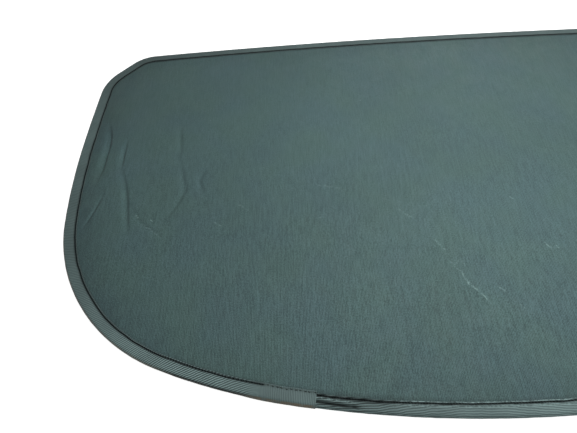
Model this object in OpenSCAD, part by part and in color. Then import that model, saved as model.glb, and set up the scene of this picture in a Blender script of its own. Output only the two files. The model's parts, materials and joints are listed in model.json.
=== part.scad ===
// Soft tonneau cover: a ribbed coated-cloth sheet held flat by a sprung steel hoop.
// The hoop lies in the fold of a sewn edge binding, and a snap hook at each corner ties the cover down.
// The cover lies flat on z = 0 with its rear edge towards -Y and its straighter front edge towards +Y.
// The origin is under the middle of its overall length and width.

/* [Outline] */
// Radius of the middle stretch of the rear edge
rear_r = 1455; // [1400:5:1500]
// How far the rear edge turns over that stretch, on each side of the middle, in degrees
rear_turn = 9.6; // [9.2:0.1:10]
// Radius of the rear edge between its middle stretch and the rear corner
rear_quarter_r = 768; // [740:2:800]
// How far the edge turns over that stretch, in degrees
rear_quarter_turn = 11.4; // [11:0.1:12]
// Radius of the large rear corners
rear_corner_r = 255; // [240:1:270]
// How far the edge turns round a rear corner, in degrees
rear_corner_turn = 62.4; // [60:0.2:64]
// Radius of the rear half of the side
side_rear_r = 1083; // [1000:1:1150]
// How far the edge turns over the rear half of the side, in degrees
side_rear_turn = 7.4; // [7:0.1:8]
// Radius of the front half of the side
side_front_r = 3067; // [2800:1:3300]
// How far the edge turns over the front half of the side, in degrees
side_front_turn = 2.3; // [2:0.1:2.6]
// Radius at the side end of a front corner
corner_side_r = 72; // [60:1:80]
// How far the edge turns at the side end of a front corner, in degrees
corner_side_turn = 40.7; // [39:0.1:42]
// Length of the straight cut across a front corner
corner_flat = 34; // [24:1:44]
// Radius at the front end of a front corner
corner_front_r = 60; // [50:1:70]
// How far each half of the front edge turns, which sets how much it bows, in degrees
front_turn = 3; // [2.5:0.1:3.5]

/* [Sheet and binding] */
// Thickness of the ribbed cover sheet
sheet_t = 1; // [0.8:0.1:1.4]
// Thickness of the binding strip
binding_t = 0.8; // [0.6:0.1:1]
// Width of binding seen on top of the cover
binding_w = 16; // [14:0.5:20]
// How far the stitch row lies in from the outer edge of the binding
stitch_inset = 14.5; // [12.5:0.5:15]
// Distance from the middle of the cover to the free end of the binding lap
lap_end_x = 206; // [190:1:220]
// Length of the lap where the binding strip covers its own start
lap_l = 58; // [48:1:70]
// Number of hand stitches that close the lap
lap_stitches = 11; // [7:1:13]

/* [Hoop] */
// Diameter of the round tunnel that the hoop lies in
tunnel_d = 4; // [4:0.1:5]
// Radial play between the hoop rod and its tunnel
tunnel_play = 0.25; // [0.2:0.05:0.4]
// Length of the sleeve that joins the two ends of the rod
sleeve_l = 50; // [40:1:60]
// Distance from the middle of the cover to the middle of the sleeve
sleeve_x = 171; // [160:1:175]

/* [Corner tabs] */
// Distance from the outer edge to the bar that a hook hangs on
bar_inset = 52; // [50:1:60]
// Width of the webbing
webbing_w = 20; // [16:1:20]
// Thickness of the webbing
webbing_t = 1; // [0.8:0.1:1]
// Length of webbing sewn down behind the hook bar
tab_l = 30; // [26:1:32]
// Thickness of the patch between webbing and sheet
patch_t = 0.5; // [0.4:0.1:0.5]

/* [Snap hooks] */
// Diameter of the hook bar
bar_d = 2; // [1.8:0.1:2]
// Thickness of the moulded hook
hook_t = 3.6; // [3.2:0.1:3.6]
// Inner radius of the hook's eye
eye_r = 7; // [6.5:0.1:7.5]
// Width of material round the hook's eye
eye_wall = 4; // [3.5:0.1:4.5]
// Diameter of the gate pin
gate_pin_d = 1.6; // [1.4:0.1:1.8]
// Thickness of the sprung steel gate
gate_t = 0.8; // [0.6:0.1:0.9]

/* [Hidden] */
$fn = 240;
RIGHT = 0;
LEFT = 1;
// Every corner: its name, the run of the outline that it sits on, and its side
CORNERS = [
    ["front_right", 6, RIGHT],
    ["front_left", 6, LEFT],
    ["rear_right", 2, RIGHT],
    ["rear_left", 2, LEFT]
];
CORNER_PIECES = ["tab", "hook", "hook_bar", "gate", "gate_pin"];

running_fit = 0.05;   // radial clearance between a shaft and its hole
thread_w = 0.5;       // width of sewing thread
thread_t = 0.3;       // how far thread stands off the cloth

// Heights, from the ground up
tunnel_r = tunnel_d / 2;
rod_r = tunnel_r - tunnel_play;
rod_inset = binding_t + tunnel_r;
rod_z = binding_t + tunnel_r;
sheet_z = binding_t + tunnel_d;
binding_z = sheet_z + sheet_t;
top_z = binding_z + binding_t;
lap_z = top_z + thread_t + running_fit;   // the lap lies over the needle thread

// ---- The outline, as runs of one radius each, from the middle of the rear edge round the right side ----
front_corner_turn = 180 - rear_turn - rear_quarter_turn - rear_corner_turn - side_rear_turn
    - side_front_turn - corner_side_turn - front_turn;

// Each run is [radius, turn, length]: an arc has a length of 0, and a straight has a radius and turn of 0
SHAPED_RUNS = [
    [rear_r, rear_turn, 0],
    [rear_quarter_r, rear_quarter_turn, 0],
    [rear_corner_r, rear_corner_turn, 0],
    [side_rear_r, side_rear_turn, 0],
    [side_front_r, side_front_turn, 0],
    [corner_side_r, corner_side_turn, 0],
    [0, 0, corner_flat],
    [corner_front_r, front_corner_turn, 0]
];

// A state is [x, y, heading]. The cover is on the left of the edge all the way round.
function inward(heading) = [-sin(heading), cos(heading)];
function forward(heading) = [cos(heading), sin(heading)];
function state_after(state, radius, turn, length) =
    let (
        heading = state[2] + turn,
        place = [state[0], state[1]] + radius * (inward(state[2]) - inward(heading))
            + length * forward(state[2])
    )
    [place[0], place[1], heading];
function end_of(run, state) = state_after(state, run[0], run[1], run[2]);
function states(runs, first) =
    [for (i = 0, s = first; i <= len(runs); s = i < len(runs) ? end_of(runs[i], s) : s, i = i + 1) s];

front_start = states(SHAPED_RUNS, [0, 0, 0])[len(SHAPED_RUNS)];
front_r = front_start[0] / sin(front_turn);
RUNS = concat(SHAPED_RUNS, [[front_r, front_turn, 0]]);
overall_d = front_start[1] + front_r * (1 - cos(front_turn));
START = states(RUNS, [0, -overall_d / 2, 0]);
FRONT_RUN = len(RUNS) - 1;

// The state part of the way along run i, from 0 at its start to 1 at its end
function state_along(i, part) = state_after(START[i], RUNS[i][0], RUNS[i][1] * part, RUNS[i][2] * part);

module on_side(side) {
    mirror([side, 0, 0])
        children();
}

// Run i is divided so that no step turns or travels too far
max_step_turn = 4;
max_step_l = 40;
function run_length(run) = run[2] + run[0] * run[1] * PI / 180;
function step_count(i) = max(ceil(RUNS[i][1] / max_step_turn), ceil(run_length(RUNS[i]) / max_step_l));

// States round the right half, from the middle of the rear edge to the middle of the front edge
RIGHT_STATES = concat(
    [for (i = [0 : FRONT_RUN]) for (k = [0 : step_count(i) - 1]) state_along(i, k / step_count(i))],
    [state_along(FRONT_RUN, 1)]
);
HALF_COUNT = len(RIGHT_STATES);

// The same place on the left side, still travelling anticlockwise
function mirrored(state) = [-state[0], state[1], 360 - state[2]];
function inset_point(state, inset) = [state[0], state[1]] + inset * inward(state[2]);

// The middle states lie on the mirror line, so the left half leaves them out
EDGE_STATES = concat(RIGHT_STATES, [for (k = [HALF_COUNT - 2 : -1 : 1]) mirrored(RIGHT_STATES[k])]);

module outline(inset) {
    polygon([for (state = EDGE_STATES) inset_point(state, inset)]);
}

// A closed band that follows the edge between two insets and two heights
module edge_band(outer, inner, low, high) {
    translate([0, 0, low])
        linear_extrude(height = high - low)
            difference() {
                outline(outer);
                outline(inner);
            }
}

// ---- Sheet and binding ----
edge_gap = 0.1;   // between the cut edge of the sheet and the fold of the binding

module cover_sheet() {
    color("#4c6462")
        translate([0, 0, sheet_z])
            linear_extrude(height = sheet_t)
                outline(binding_t + edge_gap);
}

// The strip covers the top, folds down outside the hoop, passes under it and comes back up to the sheet
floor_leg = binding_t + tunnel_d + binding_t;

// States along the lap on the left of the rear edge, from its free end
lap_from = asin(lap_end_x / rear_r) / rear_turn;
lap_on_rear = run_length(RUNS[0]) * (1 - lap_from);
lap_on_quarter = lap_l - lap_on_rear;
lap_steps = 4;
function lap_state(distance) =
    distance < lap_on_rear
        ? state_along(0, lap_from + distance / run_length(RUNS[0]))
        : state_along(1, (distance - lap_on_rear) / run_length(RUNS[1]));
LAP_STATES = [for (k = [0 : lap_steps]) lap_state(lap_l * k / lap_steps)];

module lap_band(outer, inner, low, high) {
    on_side(LEFT)
        translate([0, 0, low])
            linear_extrude(height = high - low)
                polygon(concat(
                    [for (state = LAP_STATES) inset_point(state, outer)],
                    [for (k = [lap_steps : -1 : 0]) inset_point(LAP_STATES[k], inner)]
                ));
}

lap_bite = 0.4;   // how far the lap runs into the strip that it is sewn to

module edge_binding() {
    color("#5d7573") {
        edge_band(0, binding_t, 0, top_z);
        edge_band(0, binding_w, binding_z, top_z);
        edge_band(0, floor_leg, 0, binding_t);
        edge_band(floor_leg - binding_t, floor_leg, 0, sheet_z);
        edge_band(floor_leg - binding_t, binding_w, sheet_z - binding_t, sheet_z);
        lap_band(-binding_t, lap_bite, binding_t, lap_z + binding_t);
        lap_band(-binding_t, binding_w, lap_z, lap_z + binding_t);
    }
}

// ---- Hoop: one bent rod whose ends are turned down and meet in a sleeve ----
neck_r = 1.25;
end_gap = 1;       // between the two ends of the rod
rod_sides = 14;
sleeve_steps = 4;  // from the sleeve to the middle of the rear edge
sleeve_part = sleeve_l / 2 / run_length(RUNS[0]);
gap_part = end_gap / 2 / run_length(RUNS[0]);
sleeve_mid = asin(sleeve_x / rear_r) / rear_turn;

function left_rear_state(part) = mirrored(state_along(0, part));

// Each station of the rod is [x, y, heading, radius], from one end of the rod round to the other
function station(state, r) = [state[0], state[1], state[2], r];
function necks(parts) = [for (part = parts) station(left_rear_state(part), neck_r)];
function full(parts) = [for (part = parts) station(left_rear_state(part), rod_r)];
ROD_STATIONS = concat(
    necks([sleeve_mid - gap_part, sleeve_mid - sleeve_part]),
    full([for (k = [0 : sleeve_steps - 1]) (sleeve_mid - sleeve_part) * (1 - k / sleeve_steps)]),
    [for (k = [0 : len(EDGE_STATES) - step_count(0)]) station(EDGE_STATES[k], rod_r)],
    full([(1 + sleeve_mid + sleeve_part) / 2, sleeve_mid + sleeve_part]),
    necks([sleeve_mid + sleeve_part, sleeve_mid + gap_part])
);
SLEEVE_PARTS = [sleeve_mid + sleeve_part - gap_part, sleeve_mid + gap_part,
                sleeve_mid - gap_part, sleeve_mid - sleeve_part + gap_part];

// A round section carried along the stations, closed at both ends
module swept_rod(stations) {
    last = len(stations) - 1;
    points = [
        for (s = stations)
            for (k = [0 : rod_sides - 1])
                let (
                    angle = 360 * k / rod_sides,
                    flat = inset_point(s, rod_inset + s[3] * cos(angle))
                )
                [flat[0], flat[1], rod_z + s[3] * sin(angle)]
    ];
    walls = [
        for (j = [0 : last - 1])
            for (k = [0 : rod_sides - 1])
                let (
                    a = j * rod_sides + k,
                    b = j * rod_sides + (k + 1) % rod_sides
                )
                [a, a + rod_sides, b + rod_sides, b]
    ];
    polyhedron(points, concat(
        [[for (k = [0 : rod_sides - 1]) k]],
        walls,
        [[for (k = [rod_sides - 1 : -1 : 0]) last * rod_sides + k]]
    ));
}

module hoop_rod() {
    color("#8d9296")
        swept_rod(ROD_STATIONS);
}

module hoop_sleeve() {
    longer = concat([SLEEVE_PARTS[0] + gap_part], SLEEVE_PARTS, [SLEEVE_PARTS[3] - gap_part]);
    color("#b9bcbe")
        difference() {
            swept_rod([for (part = SLEEVE_PARTS) station(left_rear_state(part), rod_r)]);
            swept_rod([for (part = longer) station(left_rear_state(part), neck_r + running_fit)]);
        }
}

// ---- Sewing thread ----
module thread_row(low) {
    edge_band(stitch_inset - thread_w / 2, stitch_inset + thread_w / 2, low, low + thread_t);
}

module needle_thread() {
    color("#202a2b")
        thread_row(top_z);
}

module bobbin_thread() {
    color("#202a2b")
        thread_row(sheet_z - binding_t - thread_t);
}

lap_stitch_l = 3;

module lap_stitch(state) {
    translate([state[0], state[1], lap_z + binding_t])
        rotate([0, 0, state[2]])
            translate([-lap_stitch_l / 2, stitch_inset - thread_w / 2, 0])
                cube([lap_stitch_l, thread_w, thread_t]);
}

module lap_thread() {
    color("#2f3a3a")
        on_side(LEFT)
            for (k = [0 : lap_stitches - 1])
                lap_stitch(lap_state(lap_l * (k + 0.5) / lap_stitches));
}

// ---- Corners: webbing tabs under the sheet. Local +X runs in from the edge, +Y along the hook bar ----
module at_corner(corner) {
    place = state_along(corner[1], 0.5);
    spot = [place[0], place[1]] + bar_inset * inward(place[2]);
    on_side(corner[2])
        translate([spot[0], spot[1], 0])
            rotate([0, 0, place[2] + 90])
                children();
}

bar_r = bar_d / 2;
loop_bore_r = bar_r + running_fit;
loop_r = loop_bore_r + webbing_t;
loop_drop = 0.1;                          // how far the loop hangs below the top of the webbing
tab_z = sheet_z - patch_t - webbing_t;   // underside of the upper leg of the tab
lower_leg_z = tab_z - webbing_t;
bar_z = tab_z + webbing_t - loop_drop - loop_r;
fold_l = 5;           // where the lower leg leaves the upper one to pass round the bar
tab_cut = 2;          // how much shorter the lower leg is cut
leg_bite = 0.1;       // how far the sewn legs press into each other
patch_w = 44;
patch_l = tab_l + 2;
patch_corner = 4;

module corner_patches() {
    color("#3a4a49")
        for (corner = CORNERS)
            at_corner(corner)
                translate([-patch_l - 1, -patch_w / 2, sheet_z - patch_t])
                    patch();
}

module patch() {
    linear_extrude(height = patch_t)
        union() {
            translate([patch_corner, 0])
                square([patch_l - 2 * patch_corner, patch_w]);
            translate([0, patch_corner])
                square([patch_l, patch_w - 2 * patch_corner]);
            for (x = [patch_corner, patch_l - patch_corner])
                for (y = [patch_corner, patch_w - patch_corner])
                    translate([x, y])
                        circle(r = patch_corner);
        }
}

module tab_profile() {
    difference() {
        union() {
            translate([0, bar_z])
                circle(r = loop_r);
            translate([-tab_l, tab_z])
                square([tab_l, webbing_t]);
            polygon([
                [tab_cut - tab_l, lower_leg_z],
                [-fold_l, lower_leg_z],
                [0, bar_z - loop_bore_r - webbing_t / 2],
                [0, bar_z],
                [-fold_l, tab_z + leg_bite],
                [tab_cut - tab_l, tab_z + leg_bite]
            ]);
        }
        translate([0, bar_z])
            circle(r = loop_bore_r);
    }
}

module tab() {
    color("#2b3233")
        rotate([90, 0, 0])
            linear_extrude(height = webbing_w, center = true)
                tab_profile();
}

// A sewn box with a cross in it, on the underside of each tab
box_l = 18;
box_w = webbing_w - 4;
box_x = -fold_l - 3 - box_l / 2;

module stitch_line(length, angle) {
    rotate([0, 0, angle])
        translate([-length / 2, -thread_w / 2, 0])
            cube([length, thread_w, thread_t]);
}

module stitch_box() {
    diagonal = norm([box_l, box_w]);
    slant = atan2(box_w, box_l);
    for (side = [-1, 1]) {
        translate([0, side * box_w / 2, 0])
            stitch_line(box_l + thread_w, 0);
        translate([side * box_l / 2, 0, 0])
            stitch_line(box_w + thread_w, 90);
        stitch_line(diagonal, side * slant);
    }
}

module tab_threads() {
    color("#6d7c7b")
        for (corner = CORNERS)
            at_corner(corner)
                translate([box_x, 0, lower_leg_z - thread_t])
                    stitch_box();
}

// ---- Snap hooks, lying flat under the sheet and pointing in from the edge ----
arm_w = 2.6;
arm_gap = 0.6;                    // between the webbing and each arm of the hook
arm_in = webbing_w / 2 + arm_gap;
arm_out = arm_in + arm_w;
slot_l = 6;                       // from the bar to the far side of the webbing slot
base_l = 4;                       // width of the cross piece beyond the slot
eye_x = slot_l + base_l + eye_wall + eye_r + 1;
eye_out_r = eye_r + eye_wall;
mouth_near = eye_x - 5.4;
mouth_far = eye_x + 4.3;
pivot = [eye_x - 7.9, 5.3];
lug_r = 3;
slot_r = lug_r + 0.3;             // room round the pivot for the gate to turn
cheek = 0.95;                     // wall left on each side of the gate's slot
gate_slot_t = hook_t - 2 * cheek;
gate_eye_t = gate_slot_t - 0.2;
gate_h = hook_t - 0.4;
gate_tip_r = eye_r - 0.6;         // the gate's tip stops just inside the nose of the eye
gate_tip_angle = 42;
gate_tip = [eye_x + gate_tip_r * cos(gate_tip_angle), gate_tip_r * sin(gate_tip_angle)];
gate_reach = gate_tip - pivot;
gate_angle = atan2(gate_reach[1], gate_reach[0]);
gate_neck_l = 3.9;                // the gate is full height only beyond this distance from its pin
gate_pin_r = gate_pin_d / 2;
gate_eye_r = gate_pin_r + running_fit + gate_t;

module hook_outline() {
    difference() {
        union() {
            polygon([
                [slot_l, -arm_out],
                [slot_l, arm_out],
                [slot_l + base_l, arm_out],
                [eye_x - eye_r, eye_out_r - 2.5],
                [eye_x - eye_r, 2.5 - eye_out_r],
                [slot_l + base_l, -arm_out]
            ]);
            difference() {
                translate([eye_x, 0])
                    circle(r = eye_out_r);
                translate([mouth_near, 0])
                    square([mouth_far - mouth_near, eye_out_r + 1]);
            }
            translate(pivot)
                circle(r = lug_r);
        }
        translate([eye_x, 0])
            circle(r = eye_r);
    }
}

module hook() {
    color("#1f2325")
        difference() {
            union() {
                translate([0, 0, bar_z - hook_t / 2])
                    linear_extrude(height = hook_t)
                        hook_outline();
                for (side = [-1, 1])
                    hook_arm(side);
            }
            translate([0, 0, bar_z])
                rotate([90, 0, 0])
                    cylinder(r = bar_r, h = 2 * arm_out + 2, center = true);
            translate([pivot[0], pivot[1], bar_z])
                cylinder(r = slot_r, h = gate_slot_t, center = true);
            translate([pivot[0], pivot[1], bar_z])
                cylinder(r = gate_pin_r, h = hook_t + 2, center = true);
        }
}

module hook_arm(side) {
    mid = side * (arm_in + arm_w / 2);
    translate([0, mid - arm_w / 2, bar_z - hook_t / 2])
        cube([slot_l + 1, arm_w, hook_t]);
    translate([0, mid, bar_z])
        rotate([90, 0, 0])
            cylinder(r = hook_t / 2, h = arm_w, center = true);
}

module hook_bar() {
    color("#a9adb0")
        translate([0, 0, bar_z])
            rotate([90, 0, 0])
                cylinder(r = bar_r, h = 2 * arm_out, center = true);
}

module gate() {
    color("#a9adb0")
        translate([pivot[0], pivot[1], bar_z])
            rotate([0, 0, gate_angle])
                difference() {
                    union() {
                        cylinder(r = gate_eye_r, h = gate_eye_t, center = true);
                        translate([0, -gate_t / 2, -gate_eye_t / 2])
                            cube([gate_neck_l + 0.5, gate_t, gate_eye_t]);
                        translate([gate_neck_l, -gate_t / 2, -gate_h / 2])
                            cube([norm(gate_reach) - gate_neck_l, gate_t, gate_h]);
                    }
                    cylinder(r = gate_pin_r + running_fit, h = gate_eye_t + 1, center = true);
                }
}

module gate_pin() {
    color("#c4c6c8")
        translate([pivot[0], pivot[1], bar_z])
            cylinder(r = gate_pin_r, h = hook_t, center = true);
}

cover_sheet();
edge_binding();
hoop_rod();
hoop_sleeve();
needle_thread();
bobbin_thread();
lap_thread();
corner_patches();
tab_threads();
for (corner = CORNERS) {
    at_corner(corner) tab();
    at_corner(corner) hook();
    at_corner(corner) hook_bar();
    at_corner(corner) gate();
    at_corner(corner) gate_pin();
}
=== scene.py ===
"""Looks of a soft tonneau cover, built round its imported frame.

The cover is a sheet of ribbed coated cloth. A bias-cut strip folds over its edge and over a sprung steel
hoop, one row of lockstitch holds the strip, and a hand-sewn lap closes it on the rear edge. Under each
corner a woven strap, sewn to a patch, holds a moulded snap hook. Everything is in metres, in the frame of
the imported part: +Z up, +Y towards the straighter front edge, and the origin under the middle of the cover.
"""

import json
import logging
import math
from dataclasses import dataclass, field
from enum import Enum
from typing import Sequence, Union

import bmesh
import bpy
import numpy as np
from mathutils import Matrix, Vector
from mathutils.kdtree import KDTree


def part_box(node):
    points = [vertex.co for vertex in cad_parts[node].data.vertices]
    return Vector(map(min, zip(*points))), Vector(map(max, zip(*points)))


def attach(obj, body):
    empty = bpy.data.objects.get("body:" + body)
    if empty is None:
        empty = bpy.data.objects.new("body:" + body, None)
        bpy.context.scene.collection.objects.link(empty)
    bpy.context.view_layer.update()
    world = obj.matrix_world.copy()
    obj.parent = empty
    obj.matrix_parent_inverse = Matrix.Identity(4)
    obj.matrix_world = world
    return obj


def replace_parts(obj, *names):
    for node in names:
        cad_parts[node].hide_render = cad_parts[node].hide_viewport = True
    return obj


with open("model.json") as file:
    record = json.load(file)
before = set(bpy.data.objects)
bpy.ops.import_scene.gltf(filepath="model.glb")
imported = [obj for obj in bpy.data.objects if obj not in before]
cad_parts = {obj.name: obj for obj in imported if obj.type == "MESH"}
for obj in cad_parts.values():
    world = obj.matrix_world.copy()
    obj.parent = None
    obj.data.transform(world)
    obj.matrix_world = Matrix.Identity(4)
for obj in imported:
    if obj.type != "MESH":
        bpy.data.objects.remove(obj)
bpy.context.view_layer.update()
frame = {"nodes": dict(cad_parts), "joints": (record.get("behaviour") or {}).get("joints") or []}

MM = 0.001
COVER = "cover"
OUTLINE_PLAY = 0.3 * MM
LOG = logging.getLogger("tonneau_cover")
Colour = tuple[float, float, float]
Socket = Union[bpy.types.NodeSocket, float]


class Corner(Enum):
    """The four corners that carry a strap and a snap hook."""

    FRONT_RIGHT = "front_right"
    FRONT_LEFT = "front_left"
    REAR_RIGHT = "rear_right"
    REAR_LEFT = "rear_left"


class Face(Enum):
    """The face of the cloth that a row of stitches stands on: the sign of its normal along Z."""

    TOP = 1.0
    UNDER = -1.0


class Patch(Enum):
    """Which of a mesh's material slots a face wears."""

    FACE_CLOTH = 0
    BACKING = 1


# ---- Steps, wanders and directions ----


def smooth(value: np.ndarray, low: float, high: float) -> np.ndarray:
    """Rises from 0 at low to 1 at high without a kink.

    Args:
        value: The numbers to map.
        low: Where the step starts.
        high: Where the step ends; it may be less than low, for a falling step.

    Returns:
        The step's height at each value.
    """
    part = np.clip((np.asarray(value, float) - low) / (high - low), 0.0, 1.0)
    return part * part * (3 - 2 * part)


def bell(value: np.ndarray, middle: float, width: float) -> np.ndarray:
    """Gives 1 at middle, and falls off on both sides over about one width."""
    return np.exp(-(((np.asarray(value, float) - middle) / width) ** 2))


def along(table: Sequence[tuple[float, float]], distance: np.ndarray) -> np.ndarray:
    """Reads a value between the rows of a table.

    Args:
        table: Distances in millimetres, each with its value.
        distance: The distances to read at, in metres.

    Returns:
        The value at each distance.
    """
    spots, values = np.array(table, float).T
    return np.interp(distance, spots * MM, values)


@dataclass(frozen=True)
class Wander:
    """A smooth irregular rise and fall of about unit height, the same on each run.

    Attributes:
        seed: Picks the phases and directions of the waves.
        shortest: Shortest wavelength.
        longest: Longest wavelength.
        waves: How many waves are added up.
    """

    seed: int
    shortest: float
    longest: float
    waves: int = 9

    def _waves(self) -> tuple[np.ndarray, np.ndarray, np.ndarray]:
        """Draws the waves.

        Returns:
            Their wavelengths, phases and directions.
        """
        rng = np.random.default_rng(self.seed)
        lengths = np.geomspace(self.shortest, self.longest, self.waves)
        return lengths, rng.uniform(0, 2 * np.pi, self.waves), rng.uniform(0, np.pi, self.waves)

    def along(self, distance: np.ndarray) -> np.ndarray:
        """Gives the wander along a line.

        Args:
            distance: Distances along the line.

        Returns:
            The wander at each distance.
        """
        lengths, phases, _ = self._waves()
        turns = 2 * np.pi * np.asarray(distance, float)[..., None] / lengths + phases
        return np.sin(turns).sum(-1) / math.sqrt(self.waves)

    def over(self, x: np.ndarray, y: np.ndarray) -> np.ndarray:
        """Gives the wander over a plane.

        Args:
            x: Places along X.
            y: Places along Y.

        Returns:
            The wander at each place.
        """
        lengths, phases, ways = self._waves()
        travel = x[..., None] * np.cos(ways) + y[..., None] * np.sin(ways)
        return np.sin(2 * np.pi * travel / lengths + phases).sum(-1) / math.sqrt(self.waves)


def left_of(ways: np.ndarray) -> np.ndarray:
    """Gives the vectors a quarter turn to the left of flat ones, one row each."""
    return np.stack([-ways[:, 1], ways[:, 0]], -1)


# ---- Meshes ----


def placed(name: str, data: bpy.types.ID) -> bpy.types.Object:
    """Puts an object in the scene.

    Args:
        name: Its name.
        data: Its mesh, light or camera.

    Returns:
        The object.
    """
    made = bpy.data.objects.new(name, data)
    bpy.context.scene.collection.objects.link(made)
    return made


def loop_faces(stations: int, count: int, capped: bool) -> list[list[int]]:
    """Lists the faces that join closed sections one after another.

    Args:
        stations: How many sections there are.
        count: How many points each section has.
        capped: Whether a face closes each end.

    Returns:
        The faces, as indices into the points taken section by section.
    """
    index = np.arange(stations * count).reshape(stations, count)
    here, ahead = index[:-1], index[1:]
    quads = np.stack([here, np.roll(here, -1, 1), np.roll(ahead, -1, 1), ahead], axis=-1)
    faces = quads.reshape(-1, 4).tolist()
    if capped:
        faces += [index[0, ::-1].tolist(), index[-1].tolist()]
    return faces


@dataclass
class Shape:
    """A mesh in the making.

    Attributes:
        points: Its points, one row each.
        faces: Its faces, as lists of point numbers.
        values: Named numbers held by each point, which the finishes read.
        slots: The material slot of each face, where the mesh wears more than one.
    """

    points: np.ndarray
    faces: list[list[int]]
    values: dict[str, np.ndarray] = field(default_factory=dict)
    slots: Sequence[int] = ()

    @classmethod
    def joined(cls, shapes: Sequence["Shape"]) -> "Shape":
        """Joins separate solids into one mesh.

        Args:
            shapes: The solids, which hold values of the same names.

        Returns:
            One shape that holds them all.
        """
        starts = np.cumsum([0] + [len(s.points) for s in shapes[:-1]])
        faces = [[i + int(start) for i in f] for s, start in zip(shapes, starts) for f in s.faces]
        names = shapes[0].values
        values = {n: np.concatenate([s.values[n] for s in shapes]) for n in names}
        return cls(np.concatenate([s.points for s in shapes]), faces, values)

    def moved(self, place: Matrix) -> "Shape":
        """Gives the shape carried from a corner's own axes to the cover's."""
        turn = np.array(place.to_3x3())
        return Shape(self.points @ turn.T + np.array(place.translation), self.faces, self.values)

    def show(
        self, name: str, slot: str, *materials: bpy.types.Material, crisp: float = 40
    ) -> bpy.types.Object:
        """Makes the shape a piece that rides on the cover.

        Args:
            name: The piece's name.
            slot: The record's material slot; not used.
            *materials: The materials of the mesh's slots, in order.
            crisp: Edges that turn more than this many degrees stay sharp.

        Returns:
            The Blender object.
        """
        mesh = bpy.data.meshes.new(name)
        mesh.from_pydata(self.points.tolist(), [], self.faces)
        for key, value in self.values.items():
            held = mesh.attributes.new(key, "FLOAT", "POINT")
            held.data.foreach_set("value", np.ascontiguousarray(value, np.float32))
        for material in materials:
            mesh.materials.append(material)
        if len(self.slots):
            mesh.polygons.foreach_set("material_index", np.ascontiguousarray(self.slots, np.int32))
        edit = bmesh.new()
        edit.from_mesh(mesh)
        bmesh.ops.recalc_face_normals(edit, faces=edit.faces)
        edit.to_mesh(mesh)
        edit.free()
        mesh.polygons.foreach_set("use_smooth", np.ones(len(mesh.polygons), bool))
        mesh.set_sharp_from_angle(angle=math.radians(crisp))
        piece = placed(name, mesh)
        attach(piece, COVER)
        LOG.info("%s: %d points, %d faces", name, len(mesh.vertices), len(mesh.polygons))
        return piece


# ---- Finishes ----


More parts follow.
